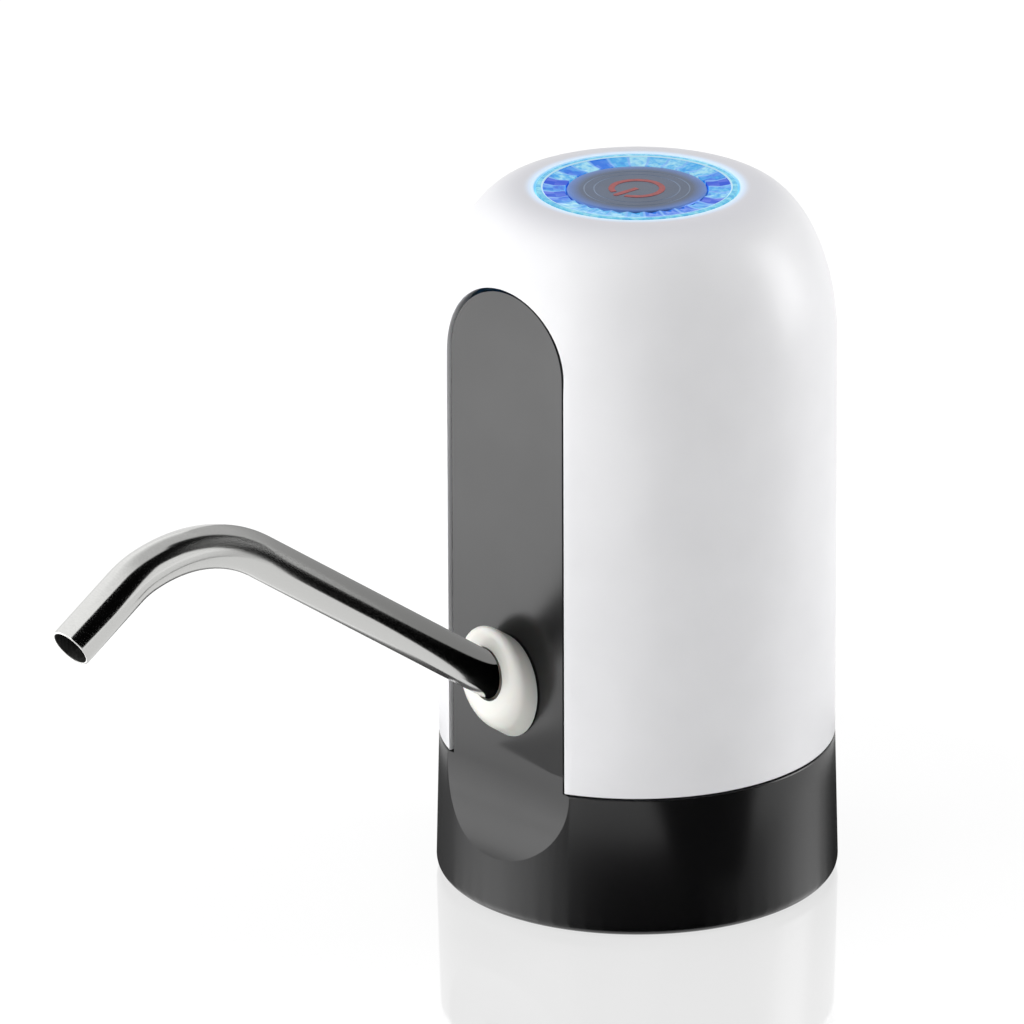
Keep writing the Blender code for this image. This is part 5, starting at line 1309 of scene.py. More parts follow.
@dataclass
class NeckSeat(Assembly):
    """What a bottle's neck meets under the deck: gasket, nipple and deck screws."""

    gasket_outer: float = 30.2 * MM
    gasket_wall: float = 1.8 * MM
    gasket_lip: float = 1.2 * MM
    gasket_lip_half: float = 1.3 * MM
    gasket_lip_tip: float = 0.35 * MM
    gasket_low: float = 2.0 * MM
    gasket_height: float = 18.0 * MM
    gasket_lips: int = 2
    nipple_y: float = 3.0 * MM
    nipple_tip: float = 10.5 * MM
    nipple_flange_low: float = 24.5 * MM
    nipple_flange_top: float = 26.7 * MM
    nipple_flange: float = 8.0 * MM
    nipple_neck: float = 4.6 * MM
    nipple_edge: float = 0.3 * MM
    nipple_barb: float = 4.0 * MM
    nipple_lead_in: float = 0.4 * MM
    nipple_ridge: float = 0.5 * MM
    nipple_ridge_land: float = 0.15 * MM
    nipple_ridge_step: float = 0.05 * MM
    nipple_ridge_pitch: float = 3.6 * MM
    nipple_ridge_start: float = 0.8
    nipple_ridges: int = 3
    nipple_bore: float = 2.6 * MM
    hose_barb: float = 2.3 * MM
    hose_barb_low: float = 33.8 * MM
    hose_barb_top: float = 39.3 * MM
    hose_lead_in: float = 0.5 * MM
    hose_bore: float = 1.4 * MM
    screw_circle: float = 26.8 * MM
    screw_top: float = 28.2 * MM
    screw_shank: float = 1.2 * MM
    screw_head: float = 2.2 * MM
    screw_head_height: float = 1.6 * MM
    screw_head_rounding: float = 0.7 * MM
    screw_length: float = 10.0 * MM
    screw_point: float = 1.2 * MM
    thread_pitch: float = 0.9 * MM
    thread_depth: float = 0.3 * MM
    thread_half: float = 0.25 * MM
    thread_end: float = 1.5 * MM
    recess_half: Point = (1.25 * MM, 0.28 * MM)
    recess_depth: float = 0.9 * MM
    gasket_steps: int = 120
    nipple_steps: int = 64
    screw_steps: int = 24

    def build(self) -> None:
        """Make the gasket, the nipple and the screws."""
        self.build_gasket()
        self.build_nipple()
        self.build_screws()

    def build_gasket(self) -> None:
        """Soft collar whose two lips grip the neck."""
        inner = self.gasket_outer - self.gasket_wall
        top = self.gasket_low + self.gasket_height
        tip = self.gasket_lip_tip
        points = [(inner, self.gasket_low), (self.gasket_outer, self.gasket_low),
                  (self.gasket_outer, top), (inner, top)]
        for number in range(self.gasket_lips):
            height = top - self.gasket_height * (2 * number + 1) / (2 * self.gasket_lips)
            points.append((inner, height + self.gasket_lip_half))
            points = bend(points, (inner - self.gasket_lip + tip, height), tip, tip, QUARTER_TURN,
                          math.pi + QUARTER_TURN, 6)
            points.append((inner, height - self.gasket_lip_half))
        gasket = turned("gasket_sleeve", points, self.gasket_steps)
        self.stand(gasket)
        self.hang(gasket, Slot.SILICONE, Body.HOUSING, ("neck_gasket",))

    def build_nipple(self) -> None:
        """Barbed nipple that takes the hose from the bottle."""
        barb, flange, neck = self.nipple_barb, self.nipple_flange, self.nipple_neck
        points = [(self.nipple_bore, self.nipple_tip), (barb - self.nipple_lead_in, self.nipple_tip),
                  (barb, self.nipple_tip + self.nipple_lead_in)]
        for ridge in range(self.nipple_ridges):
            high = self.nipple_tip + self.nipple_ridge_pitch * (ridge + self.nipple_ridge_start)
            points += [(barb + self.nipple_ridge, high - self.nipple_ridge_land),
                       (barb + self.nipple_ridge, high), (barb, high + self.nipple_ridge_step)]
        points += [
            (barb, self.nipple_flange_low), (flange - self.nipple_edge, self.nipple_flange_low),
            (flange, self.nipple_flange_low + self.nipple_edge), (flange, self.nipple_flange_top),
            (neck, self.nipple_flange_top), (neck, self.hose_barb_low),
            (self.hose_barb, self.hose_barb_low),
            (self.hose_barb, self.hose_barb_top - self.hose_lead_in),
            (self.hose_barb - self.hose_lead_in, self.hose_barb_top),
            (self.hose_bore, self.hose_barb_top),
            (self.hose_bore, self.nipple_flange_top), (self.nipple_bore, self.nipple_flange_low),
        ]
        nipple = turned("inlet_barb", points, self.nipple_steps)
        put(nipple, Matrix.Translation(self.axis + Vector((0, self.nipple_y, 0))))
        self.hang(nipple, Slot.INNER, Body.HOUSING, ("inlet_nipple",))

    def screw(self) -> bpy.types.Object:
        """Make a pan-head screw with a cross recess.

        Returns:
            The screw, which points up, with the seat of its head at height zero.
        """
        head, round_over, pitch = self.screw_head, self.screw_head_rounding, self.thread_pitch
        low = -self.screw_head_height
        points = bend([(0, low)], (head - round_over, low + round_over), round_over, round_over,
                      -QUARTER_TURN, 0, 5)
        points += [(head, 0)]
        core = self.screw_shank - self.thread_depth
        points.append((core, 0))
        for turn in range(int((self.screw_length - self.thread_end) / pitch)):
            height = pitch * (turn + 0.5)
            points += [(core, height - self.thread_half), (self.screw_shank, height),
                       (core, height + self.thread_half)]
        points += [(core, self.screw_length - self.screw_point), (0, self.screw_length)]
        made = turned("deck_screw", points, self.screw_steps)
        half_x, half_y = self.recess_half
        outline = [(-half_x, -half_y), (half_x, -half_y), (half_x, half_y), (-half_x, half_y)]
        for angle in (0, QUARTER_TURN):
            blade = plate("blade", [Vector((x, y, low - OVERRUN)) for x, y in outline],
                          Vector((0, 0, OVERRUN + self.recess_depth)))
            put(blade, Matrix.Rotation(angle, 4, "Z"))
            carve(made, blade)
        return made

    def build_screws(self) -> None:
        """Copy the screw to its seven places under the deck."""
        model = self.screw()
        for name, angles in (("housing_screw", HOUSING_SCREWS), ("frame_screw", FRAME_SCREWS)):
            for number, degrees in enumerate(angles, 1):
                angle = math.radians(degrees)
                centre = Vector((self.screw_circle * math.cos(angle), self.screw_circle * math.sin(angle),
                                 self.screw_top))
                place = Matrix.Translation(self.axis + centre) @ Matrix.Rotation(angle * 3, 4, "Z")
                copy = twin(model, f"{name}_{number}_detailed", place)
                self.hang(copy, Slot.ZINC, Body.HOUSING, (f"{name}_{number}",))
        bpy.data.objects.remove(model)


@dataclass
class Outlet(Assembly):
    """Ivory collar on the panel, which the spout's sleeve comes out of."""

    spout_frame: Matrix
    rise: float = math.radians(34)
    panel: float = 32.75 * MM
    outward: float = 38.25 * MM
    height: float = 47.7 * MM
    radius: float = 8.15 * MM
    rounding: float = 2.2 * MM
    bore: float = 4.3 * MM
    bore_edge: float = 0.3 * MM
    sleeve_room: float = 4.85 * MM
    sleeve_room_depth: float = 4.2 * MM
    counterbore: float = 6.0 * MM
    counterbore_depth: float = 7.15 * MM
    sliver: float = 0.03 * MM
    rim_band: float = 0.1 * MM
    rim_reach: float = 2.0 * MM
    rounding_steps: int = 14
    bore_steps: int = 96
    steps: int = 128

    def build(self) -> None:
        """Make the collar."""
        free_hands()
        first = self.panel + GAP
        edge = self.outward - self.rounding
        sections = bend([(first, 0.0)], (edge, self.rounding), self.rounding, -self.rounding,
                        QUARTER_TURN, 0, self.rounding_steps)
        bpy.ops.mesh.primitive_circle_add(vertices=self.steps, radius=1.0, fill_type="NGON",
                                          rotation=(QUARTER_TURN, 0, 0))
        collar = bpy.context.object
        collar.name = "outlet_ring"
        collar.data.name = "outlet_ring"
        bpy.ops.object.transform_apply(rotation=True)
        widths = [(self.radius - inset, self.radius / math.cos(self.rise) - inset)
                  for _, inset in sections]
        places = [Vector((0, -outward, self.centre_height(outward))) for outward, _ in sections]
        bpy.ops.object.mode_set(mode="EDIT")
        bpy.ops.mesh.select_all(action="SELECT")
        bpy.ops.transform.resize(value=(widths[0][0], 1, widths[0][1]), center_override=(0, 0, 0))
        bpy.ops.transform.translate(value=places[0])
        for before, after, start, end in zip(widths, widths[1:], places, places[1:]):
            bpy.ops.mesh.extrude_region_move(TRANSFORM_OT_translate={"value": end - start})
            bpy.ops.transform.resize(value=(after[0] / before[0], 1, after[1] / before[1]),
                                     center_override=end)
        close_up()
        far = 2 * self.radius
        for name, radius, low, high in (
            ("bore", self.bore, -self.sleeve_room_depth, far),
            ("sleeve_room", self.sleeve_room, -self.counterbore_depth, -self.sleeve_room_depth),
            ("counterbore", self.counterbore, -far, -self.counterbore_depth),
        ):
            tool = turned(name, [(0, low), (radius, low), (radius, high), (0, high)], self.bore_steps)
            put(tool, self.spout_frame)
            carve(collar, tool)
        self.round_bore(collar)
        self.stand(collar)
        self.hang(collar, Slot.COLLAR, Body.HOUSING, ("outlet_collar",), smooth=40.0)

    def centre_height(self, outward: float) -> float:
        """Height of the spout's axis at an outward distance."""
        return self.height - (self.outward - outward) * math.tan(self.rise)

    def round_bore(self, collar: bpy.types.Object) -> None:
        """Round the front rim of the bore.

        Args:
            collar: The collar.
        """
        tidy_small_edges(collar, self.sliver)
        inverse = self.spout_frame.inverted()

        def on_rim(point: Vector) -> bool:
            """Find whether an edge's middle lies on the bore's front rim."""
            local = inverse @ point
            return abs(local.xy.length - self.bore) < self.rim_band and local.z > -self.rim_reach

        soften(collar, self.bore_edge, segments=4, sharper_than=30.0, where=on_rim)


@dataclass
class Spout(Assembly):
    """Bent polished tube and the satin sleeve that it turns in."""

    spout_frame: Matrix
    radius: float = 4.0 * MM
    wall: float = 0.5 * MM
    insertion: float = 12.0 * MM
    straight: float = 66.3 * MM
    bend_radius: float = 33.1 * MM
    bend_turn: float = math.radians(50)
    end_radius: float = 17.8 * MM
    end_turn: float = math.radians(15.5)
    end_length: float = 15.2 * MM
    bend_steps: int = 40
    end_steps: int = 14
    rim_share: float = 0.3
    sleeve_inner: float = 4.12 * MM
    sleeve_outer: float = 4.55 * MM
    sleeve_low: float = -7.0 * MM
    sleeve_top: float = -4.5 * MM
    sleeve_edge: float = 0.2 * MM
    steps: int = 72

    def build(self) -> None:
        """Make the tube and its sleeve."""
        self.build_tube()
        self.build_sleeve()

    def build_tube(self) -> None:
        """Draw the tube out of a circle: straight, round the two bends and straight again."""
        free_hands()
        bpy.ops.mesh.primitive_circle_add(vertices=self.steps, radius=self.radius - self.wall / 2,
                                          location=(0, 0, -self.insertion))
        tube = bpy.context.object
        tube.name = "spout_pipe"
        tube.data.name = "spout_pipe"
        bpy.ops.object.transform_apply(location=True)
        bpy.ops.object.mode_set(mode="EDIT")
        bpy.context.tool_settings.mesh_select_mode = (False, True, False)
        bpy.ops.mesh.select_all(action="SELECT")
        point = Vector((0, 0, -self.insertion))
        heading = UP.copy()
        legs = ((self.insertion + self.straight, self.bend_radius, self.bend_turn, self.bend_steps),
                (0.0, self.end_radius, self.end_turn, self.end_steps), (self.end_length, 0.0, 0.0, 0))
        for length, radius, turn, steps in legs:
            if length:
                bpy.ops.mesh.extrude_region_move(TRANSFORM_OT_translate={"value": heading * length})
                point = point + heading * length
            if turn:
                centre = point + Vector((0, -heading.z, heading.y)) * radius
                bpy.ops.mesh.spin(steps=steps, angle=turn, center=centre, axis=(-1, 0, 0))
                swing = Matrix.Rotation(turn, 3, "X")
                point = centre + swing @ (point - centre)
                heading = swing @ heading
        LOG.info("spout ends at %s heading %s", tuple(point), tuple(heading))
        close_up()
        take(tube)
        # The tube's inside is dull, and its colour is darkened as painted shade for the inside of the
        # bore.
        bore = DrawnSteel("painted_shade_steel_bore", "#4A4A49", "#3A3A39", 0.5, 0.4 * MM, UP, 0.01 * MM)
        for look in (self.looks[Slot.STAINLESS], bore.material()):
            tube.data.materials.append(look)
        thicken = tube.modifiers.new("wall", "SOLIDIFY")
        thicken.material_offset = 1
        thicken.thickness = self.wall
        thicken.offset = 0
        thicken.use_even_offset = True
        bpy.ops.object.modifier_apply(modifier=thicken.name)
        soften(tube, self.wall * self.rim_share, segments=3, sharper_than=60.0)
        put(tube, Matrix.Translation(self.axis) @ self.spout_frame)
        self.hang(tube, Slot.STAINLESS, Body.SPOUT, ("spout_tube",))

    def build_sleeve(self) -> None:
        """Turn the sleeve with a rounded front edge."""
        edge = self.sleeve_edge
        points = [(self.sleeve_inner, self.sleeve_low), (self.sleeve_outer, self.sleeve_low)]
        points = bend(points, (self.sleeve_outer - edge, self.sleeve_top - edge), edge, edge, 0,
                      QUARTER_TURN, 5)
        points.append((self.sleeve_inner, self.sleeve_top))
        sleeve = turned("spout_ferrule", points, self.steps)
        put(sleeve, Matrix.Translation(self.axis) @ self.spout_frame)
        self.hang(sleeve, Slot.SATIN, Body.SLEEVE, ("spout_sleeve",))


@dataclass
class LampRing(Assembly):
    """Clear light ring: a smooth outer rim round a band of cut facets."""

    outer_radius: float = 18.45 * MM
    band_radius: float = 17.25 * MM
    inner_radius: float = 13.1 * MM
    top: float = 132.15 * MM
    bottom: float = 129.15 * MM
    bevel: float = 0.35 * MM
    groove: float = 0.25 * MM
    facet_high: float = 131.75 * MM
    facet_drop: float = 0.35 * MM
    middle_share: float = 0.7
    skirt_inner: float = 14.3 * MM
    skirt_outer: float = 16.9 * MM
    skirt_low: float = 122.15 * MM
    facets: int = 28
    steps_per_facet: int = 4

    def build(self) -> None:
        """Make the ring."""
        points = [(self.outer_radius, self.bottom)]
        points = bend(points, (self.outer_radius - self.bevel, self.top - self.bevel), self.bevel,
                      self.bevel, 0, QUARTER_TURN, 5)
        middle = (self.band_radius + self.inner_radius) / 2
        half_way = (self.top - self.groove + self.facet_high) / 2
        points += [
            (self.band_radius, self.top), (self.band_radius - self.groove, self.top - self.groove),
            (middle, half_way), (self.inner_radius, self.facet_high),
            (self.inner_radius, self.bottom), (self.skirt_inner, self.bottom),
            (self.skirt_inner, self.skirt_low), (self.skirt_outer, self.skirt_low),
            (self.skirt_outer, self.bottom),
        ]
        ring = turned("crystal_ring", points, self.facets * self.steps_per_facet)
        self.cut_facets(ring, middle, half_way)
        self.stand(ring)
        self.hang(ring, Slot.RING, Body.HOUSING, ("light_ring",), smooth=5.0)

    def cut_facets(self, ring: bpy.types.Object, middle: float, half_way: float) -> None:
        """Lower the inner rim and the middle by turns, so that the band breaks into facets.

        Args:
            ring: The ring.
            middle: Radius of the circle in the middle of the band.
            half_way: Height of that circle.
        """
        for radius, height, drop, phase in (
            (self.inner_radius, self.facet_high, self.facet_drop, 0.0),
            (middle, half_way, self.facet_drop * self.middle_share, 0.5),
        ):
            for step in range(1, self.steps_per_facet):
                depth = 1 - abs(2 * step / self.steps_per_facet - 1)
                self.lower(ring, radius, height, step, phase, depth * drop)

    def lower(self, ring: bpy.types.Object, radius: float, height: float, step: int, phase: float,
              depth: float) -> None:
        """Lower one vertex of every facet on a circle.

        Args:
            ring: The ring.
            radius: The circle's radius.
            height: Its height.
            step: Which of a facet's vertices.
            phase: How far, as a share of a facet, the pattern is turned.
            depth: How far the vertices go down.
        """
        take(ring)
        bpy.ops.object.mode_set(mode="EDIT")
        bpy.context.tool_settings.mesh_select_mode = (True, False, False)
        bpy.ops.mesh.select_all(action="DESELECT")
        shape = bmesh.from_edit_mesh(ring.data)
        all_steps = self.facets * self.steps_per_facet
        for vertex in shape.verts:
            flat = Vector((vertex.co.x, vertex.co.y))
            on_circle = abs(flat.length - radius) < GAP / 3 and abs(vertex.co.z - height) < GAP / 3
            turn = round(math.atan2(vertex.co.y, vertex.co.x) / FULL_TURN * all_steps)
            turn += round(phase * self.steps_per_facet)
            vertex.select_set(on_circle and turn % self.steps_per_facet == step)
        bmesh.update_edit_mesh(ring.data)
        bpy.ops.transform.translate(value=(0, 0, -depth))
        bpy.ops.object.mode_set(mode="OBJECT")


@dataclass
class PowerButton(Assembly):
    """Round button with two turned grooves and the red power mark."""

    radius: float = 12.8 * MM
    top: float = 131.75 * MM
    rounding: float = 0.5 * MM
    plate_thickness: float = 1.8 * MM
    flange: float = 13.9 * MM
    flange_top: float = 128.85 * MM
    flange_low: float = 127.45 * MM
    inside: float = 11.6 * MM
    stem: float = 2.4 * MM
    stem_low: float = 122.1 * MM
    grooves: tuple[float, ...] = (7.8 * MM, 9.6 * MM)
    groove_half: float = 0.14 * MM
    groove_depth: float = 0.1 * MM
    mark_radius: float = 5.15 * MM
    mark_stroke: float = 1.1 * MM
    mark_gap: float = math.radians(19)
    mark_bar: float = 5.7 * MM
    mark_proud: float = 0.05 * MM
    mark_sunk: float = 0.2 * MM
    steps: int = 128

    def build(self) -> None:
        """Make the button and its mark."""
        points = [(0.0, self.top)]
        for groove in self.grooves:
            points += [(groove - self.groove_half, self.top), (groove, self.top - self.groove_depth),
                       (groove + self.groove_half, self.top)]
        points = bend(points, (self.radius - self.rounding, self.top - self.rounding), self.rounding,
                      self.rounding, QUARTER_TURN, 0, 6)
        under = self.top - self.plate_thickness
        points += [
            (self.radius, self.flange_top), (self.flange, self.flange_top),
            (self.flange, self.flange_low), (self.inside, self.flange_low),
            (self.inside, under), (self.stem, under),
            (self.stem, self.stem_low), (0.0, self.stem_low),
        ]
        button = turned("button_cap", points, self.steps)
        self.stand(button)
        self.hang(button, Slot.BUTTON, Body.BUTTON, ("power_button",))
        self.build_mark()

    def build_mark(self) -> None:
        """Draw the power mark: an open ring and a bar through its gap, which faces the spout."""
        inner = self.mark_radius - self.mark_stroke
        first = -QUARTER_TURN + self.mark_gap
        last = -QUARTER_TURN + FULL_TURN - self.mark_gap
        outline = bend([], (0, 0), self.mark_radius, self.mark_radius, first, last, 72)
        outline = bend(outline, (0, 0), inner, inner, last, first, 72)
        low = self.top - self.mark_sunk
        thickness = Vector((0, 0, self.mark_sunk + self.mark_proud))
        mark = plate("power_mark", [Vector((x, y, low)) for x, y in outline], thickness)
        half = self.mark_stroke / 2
        end = -self.mark_bar + half
        bar = bend([(half, 0.0), (-half, 0.0)], (0, end), half, half, math.pi, FULL_TURN, 10)
        stroke = plate("stroke", [Vector((x, y, low)) for x, y in bar], thickness)
        carve(mark, stroke, Carving.ONTO)
        self.stand(mark)
        ink = BackLitInk().material()
        self.hang(mark, Slot.BUTTON, Body.BUTTON, look=ink)


@dataclass
class ChargingPort(Assembly):
    """Charging port at the back: a drawn metal mouth with its tongue and contacts."""

    half: Point = (4.45 * MM, 1.6 * MM)
    metal: float = 0.35 * MM
    lip_rounding: float = 0.1 * MM
    height: float = 45.1 * MM
    mouth: float = 35.9 * MM
    depth: float = 7.0 * MM
    tongue_half: Point = (3.2 * MM, 0.4 * MM)
    tongue_corner: float = 0.15 * MM
    tongue_back: float = 29.9 * MM
    tongue_length: float = 4.6 * MM
    contacts: int = 6
    contact_half: float = 0.22 * MM
    contact_proud: float = 0.03 * MM
    contact_start: float = 1.0 * MM
    contact_end: float = 0.6 * MM

    def build(self) -> None:
        """Make the mouth and the tongue."""
        back = self.mouth - self.depth
        half_x, half_z = self.half
        mouth = self.block("port_mouth", half_x, half_z, half_z, back, self.mouth)
        hollow = self.block("hollow", half_x - self.metal, half_z - self.metal, half_z - self.metal,
                            back + 2 * self.metal, self.mouth + OVERRUN)
        carve(mouth, hollow)
        soften(mouth, self.lip_rounding, segments=2, sharper_than=60.0)
        self.stand(mouth)
        self.hang(mouth, Slot.SATIN, Body.HOUSING, ("usb_receptacle",))
        wide, thin = self.tongue_half
        tongue = self.block("port_tongue", wide, thin, self.tongue_corner, self.tongue_back,
                            self.tongue_back + self.tongue_length)
        self.stand(tongue)
        self.hang(tongue, Slot.CHIP, Body.HOUSING, ("usb_tongue",))
        pitch = 2 * wide / (self.contacts + 1)
        for side in (-1, 1):
            for index in range(self.contacts):
                self.build_contact(index, side, (index - (self.contacts - 1) / 2) * pitch)

    def build_contact(self, index: int, side: int, x: float) -> None:
        """Lay one plated contact on the tongue.

        Args:
            index: Which contact of its row, from 0.
            side: Minus one for the row under the tongue, one for the row on it.
            x: Where its middle lies.
        """
        half = self.contact_half
        start = self.tongue_back + self.contact_start
        end = start + self.tongue_length - (self.contact_start + self.contact_end)
        surface = self.height + side * self.tongue_half[1]
        outline = [(x - half, start), (x + half, start), (x + half, end), (x - half, end)]
        name = f"port_contact_{'lower' if side < 0 else 'upper'}_{index + 1}"
        contact = plate(name, [Vector((a, b, surface)) for a, b in outline],
                        Vector((0, 0, side * self.contact_proud)))
        self.stand(contact)
        self.hang(contact, Slot.ZINC, Body.HOUSING)

    def block(self, name: str, half_x: float, half_z: float, corner: float, back: float, front: float
              ) -> bpy.types.Object:
        """Make a round-cornered block that points to the back of the pump.

        Args:
            name: The block's name.
            half_x: Half its width.
            half_z: Half its height.
            corner: Its corners' radius.
            back: Where it starts, from the body's axis.
            front: Where it ends.

        Returns:
            The block.
        """
        outline = slot_outline(half_x, half_z, corner, 8)
        corners = [Vector((x, back, self.height + z)) for x, z in outline]
        return plate(name, corners, Vector((0, front - back, 0)))


def dress_solids(nodes: dict[str, bpy.types.Object], looks: dict[Slot, bpy.types.Material]) -> None:
    """Give every CAD node its slot's finish.

    Args:
        nodes: The CAD nodes.
        looks: Slot to finish.
    """
    for item in nodes.values():
        for holder in item.material_slots:
            holder.material = looks[Slot(holder.material.name)]


# The grey screen and the black veil stand in one plane and meet along this line of (x, z) millimetres.
SCREEN_Y = -38.5 * MM
SCREEN_EDGE: tuple[Point, ...] = (
    (0, 48), (15, 59.5), (27, 69.5), (37, 80), (30, 92), (24, 101), (19, 120), (18, 150),
)


@dataclass(frozen=True)
class Glow:
    """How bright white is on a reflector card, and how the card's shades change over it."""

    strength: float
    shades: Stops = ((0.0, "#FFFFFF"), (1.0, "#FFFFFF"))
    measure: Measure = Measure.RADIUS
    reach: float = 1.0


@dataclass(frozen=True)
class Card:
    """A flat reflector card across one of the world's axes.

    Its outline is in millimetres, along the two other axes in their order, from the body's axis.
    """

    name: str
    across: Axis
    offset: float
    facing: int
    glow: Glow
    outline: tuple[Point, ...]

    def sheet(self) -> bpy.types.Object:
        """Make its sheet.

        Returns:
            The sheet, about the world's own axis.
        """
        corners = []
        for pair in self.outline:
            corner = [part * MM for part in pair]
            corner.insert(self.across.value, self.offset)
            corners.append(Vector(corner))
        front = Vector()
        front[self.across.value] = self.facing
        return flat_sheet(self.name, corners, front)


@dataclass(frozen=True)
class Lamp:
    """A soft rectangular lamp that faces the object: its place in degrees and metres, and its watts."""

    name: str
    azimuth: float
    elevation: float
    distance: float
    size: Point
    power: float


@dataclass
class Studio:
    """Camera, lamps, table and reflector cards of a pale tabletop set."""

    axis: Vector
    # The camera was fitted to the outlines of the body, the opening, the ring and the spout.
    aim_height: float = 66 * MM
    distance: float = 2212 * MM
    azimuth: float = 46.0
    elevation: float = 20.4
    roll: float = -0.25
    lens_pixels: float = 12077
    image_pixels: float = 1024
    sensor: float = 36.0
    aim_left: float = 22.9 * MM
    aim_up: float = 3.0 * MM
    room_light: float = 0.40
    lamps: tuple[Lamp, ...] = (
        Lamp("key_lamp", azimuth=-24, elevation=24, distance=1.0, size=(1.5, 1.1), power=10.5),
        Lamp("strip_lamp", azimuth=147, elevation=12, distance=1.0, size=(0.45, 0.9), power=5.8),
        Lamp("top_lamp", azimuth=200, elevation=75, distance=1.1, size=(0.8, 0.8), power=1.0),
    )
    table_radius: float = 3.0
    table_drop: float = 0.02 * MM
    table_paint: str = "#F4F4F4"
    table_shade: str = "#6A6A6A"
    table_roughness: float = 0.05
    table_mirror: float = 0.21
    mirror_full: float = 82 * MM
    mirror_gone: float = 120 * MM
    far_white: float = 1.3
    table_glow: float = 0.70
    card_lift: float = 0.2 * MM
    fan_start: float = 36.8 * MM
    fan_reach: float = 74 * MM
    fan_strips: int = 36
    # (the direction in degrees that a strip runs in, its brightness)
    fan_shades: tuple[Point, ...] = (
        (-134, 0.03), (-106, 0.12), (-89, 0.25), (-43, 1.85), (-20, 1.5), (11, 0.2), (23, 0.04),
        (35, 0.0), (82, 0.0), (100, 0.1), (121, 0.45), (154, 1.4), (170, 1.1), (185, 0.2), (198, 0.04),
        (226, 0.02),
    )
    panel_outward: float = 32.75 * MM
    panel_reach: Point = (55 * MM, 420 * MM)
    panel_halves: Point = (30 * MM, 120 * MM)
    panel_glow: Glow = Glow(3.6, ((0.1, "#C8C8C8"), (0.25, "#C8C8C8"), (0.75, "#FFFFFF")), reach=0.4)
    cards: tuple[Card, ...] = (
        Card("black_flag", Axis.X, 60 * MM, -1, Glow(0.0), (
            (0, 0), (8, 25), (24, 45), (30, 62), (24, 85), (30, 150), (30, 420), (-260, 420), (-260, 70),
            (-112, 82), (-90, 118), (-71, 111), (-56, 94), (-50, 72), (-49, 46), (-46, 22), (-35, 10),
            (-12, 0),
        )),
        Card("grey_ceiling", Axis.Z, 260 * MM, -1,
             Glow(1.2, ((0.0, "#BCBCBC"), (0.25, "#C4C4C4"), (0.5, "#FFFFFF")), reach=0.4),
             ((-1000, -600), (60, -600), (60, 100), (-1000, 100))),
        Card("pale_tray", Axis.Z, 30 * MM, 1, Glow(0.9), (
            (-6, -36), (26, -30), (34, -38), (45, -45), (57, -50), (61, -45), (61, 60), (400, 60),
            (400, -300), (-50, -300), (-50, -125), (-25, -92), (-33, -80), (-20, -66), (-6, -52),
        )),
        Card("grey_screen", Axis.Y, SCREEN_Y, -1,
             Glow(1.0, ((0.3, "#949494"), (0.45, "#A4A4A4"), (0.65, "#C8C8C8")), Measure.HEIGHT, 0.2),
             (*SCREEN_EDGE, (18, 170), (-60, 170), (-60, 48))),
        Card("black_veil", Axis.Y, SCREEN_Y, -1, Glow(0.0),
             ((0, 20), *SCREEN_EDGE, (18, 250), (59, 250), (59, 20))),
    )

    def build(self) -> None:
        """Set everything up."""
        self.build_camera()
        self.build_world()
        self.build_lamps()
        self.build_table()
        self.build_cards()

    def toward(self, azimuth: float, elevation: float) -> Vector:
        """Find the unit vector from the object to a place at an azimuth and elevation in degrees."""
        turn, rise = math.radians(azimuth), math.radians(elevation)
        return Vector((math.sin(turn) * math.cos(rise), -math.cos(turn) * math.cos(rise), math.sin(rise)))

    def build_camera(self) -> None:
        """Set the camera where the photograph was taken from."""
        free_hands()
        bpy.ops.object.camera_add()
        camera = bpy.context.object
        camera.name = "photo_camera"
        back = self.toward(self.azimuth, self.elevation)
        right = UP.cross(back).normalized()
        rise = back.cross(right)
        target = self.axis + UP * self.aim_height
        location = target + back * self.distance
        back = (location - (target - right * self.aim_left + rise * self.aim_up)).normalized()
        right = UP.cross(back).normalized()
        rise = back.cross(right)
        roll = math.radians(self.roll)
        tilted_right = right * math.cos(roll) + rise * math.sin(roll)
        tilted_rise = rise * math.cos(roll) - right * math.sin(roll)
        facing = Matrix((tilted_right, tilted_rise, back)).transposed().to_4x4()
        camera.matrix_world = Matrix.Translation(location) @ facing
        camera.data.sensor_width = self.sensor
        camera.data.lens = self.lens_pixels / self.image_pixels * self.sensor
        camera.data.clip_start = 50 * MM
        bpy.context.scene.camera = camera

    def build_world(self) -> None:
        """Surround the set with a white room that lights the object at a plain level."""
        world = bpy.data.worlds.new("pale_room")
        world.use_nodes = True
        tree = world.node_tree
        tree.nodes.clear()
        path = node(tree, "ShaderNodeLightPath").outputs
        mirrored = node(tree, "ShaderNodeMath", {0: path["Is Camera Ray"], 1: path["Is Glossy Ray"]},
                        operation="MAXIMUM").outputs["Value"]
        clear = node(tree, "ShaderNodeMath", {0: mirrored, 1: path["Is Transmission Ray"]},
                     operation="MAXIMUM").outputs["Value"]
        lighting = node(tree, "ShaderNodeBackground", {
            "Color": linear("#FFFFFF"), "Strength": self.room_light,
        })
        backdrop = node(tree, "ShaderNodeBackground", {"Color": linear("#FFFFFF"), "Strength": 1.0})
        both = node(tree, "ShaderNodeMixShader", {
            "Fac": clear, 1: lighting.outputs["Background"], 2: backdrop.outputs["Background"],
        })
        node(tree, "ShaderNodeOutputWorld", {"Surface": both.outputs["Shader"]})
        bpy.context.scene.world = world
        bpy.context.scene.view_settings.view_transform = "Standard"

    def build_lamps(self) -> None:
        """Hang a broad key at the front left, a strip behind on the right and a faint lamp above."""
        for lamp in self.lamps:
            self.hang_lamp(lamp)

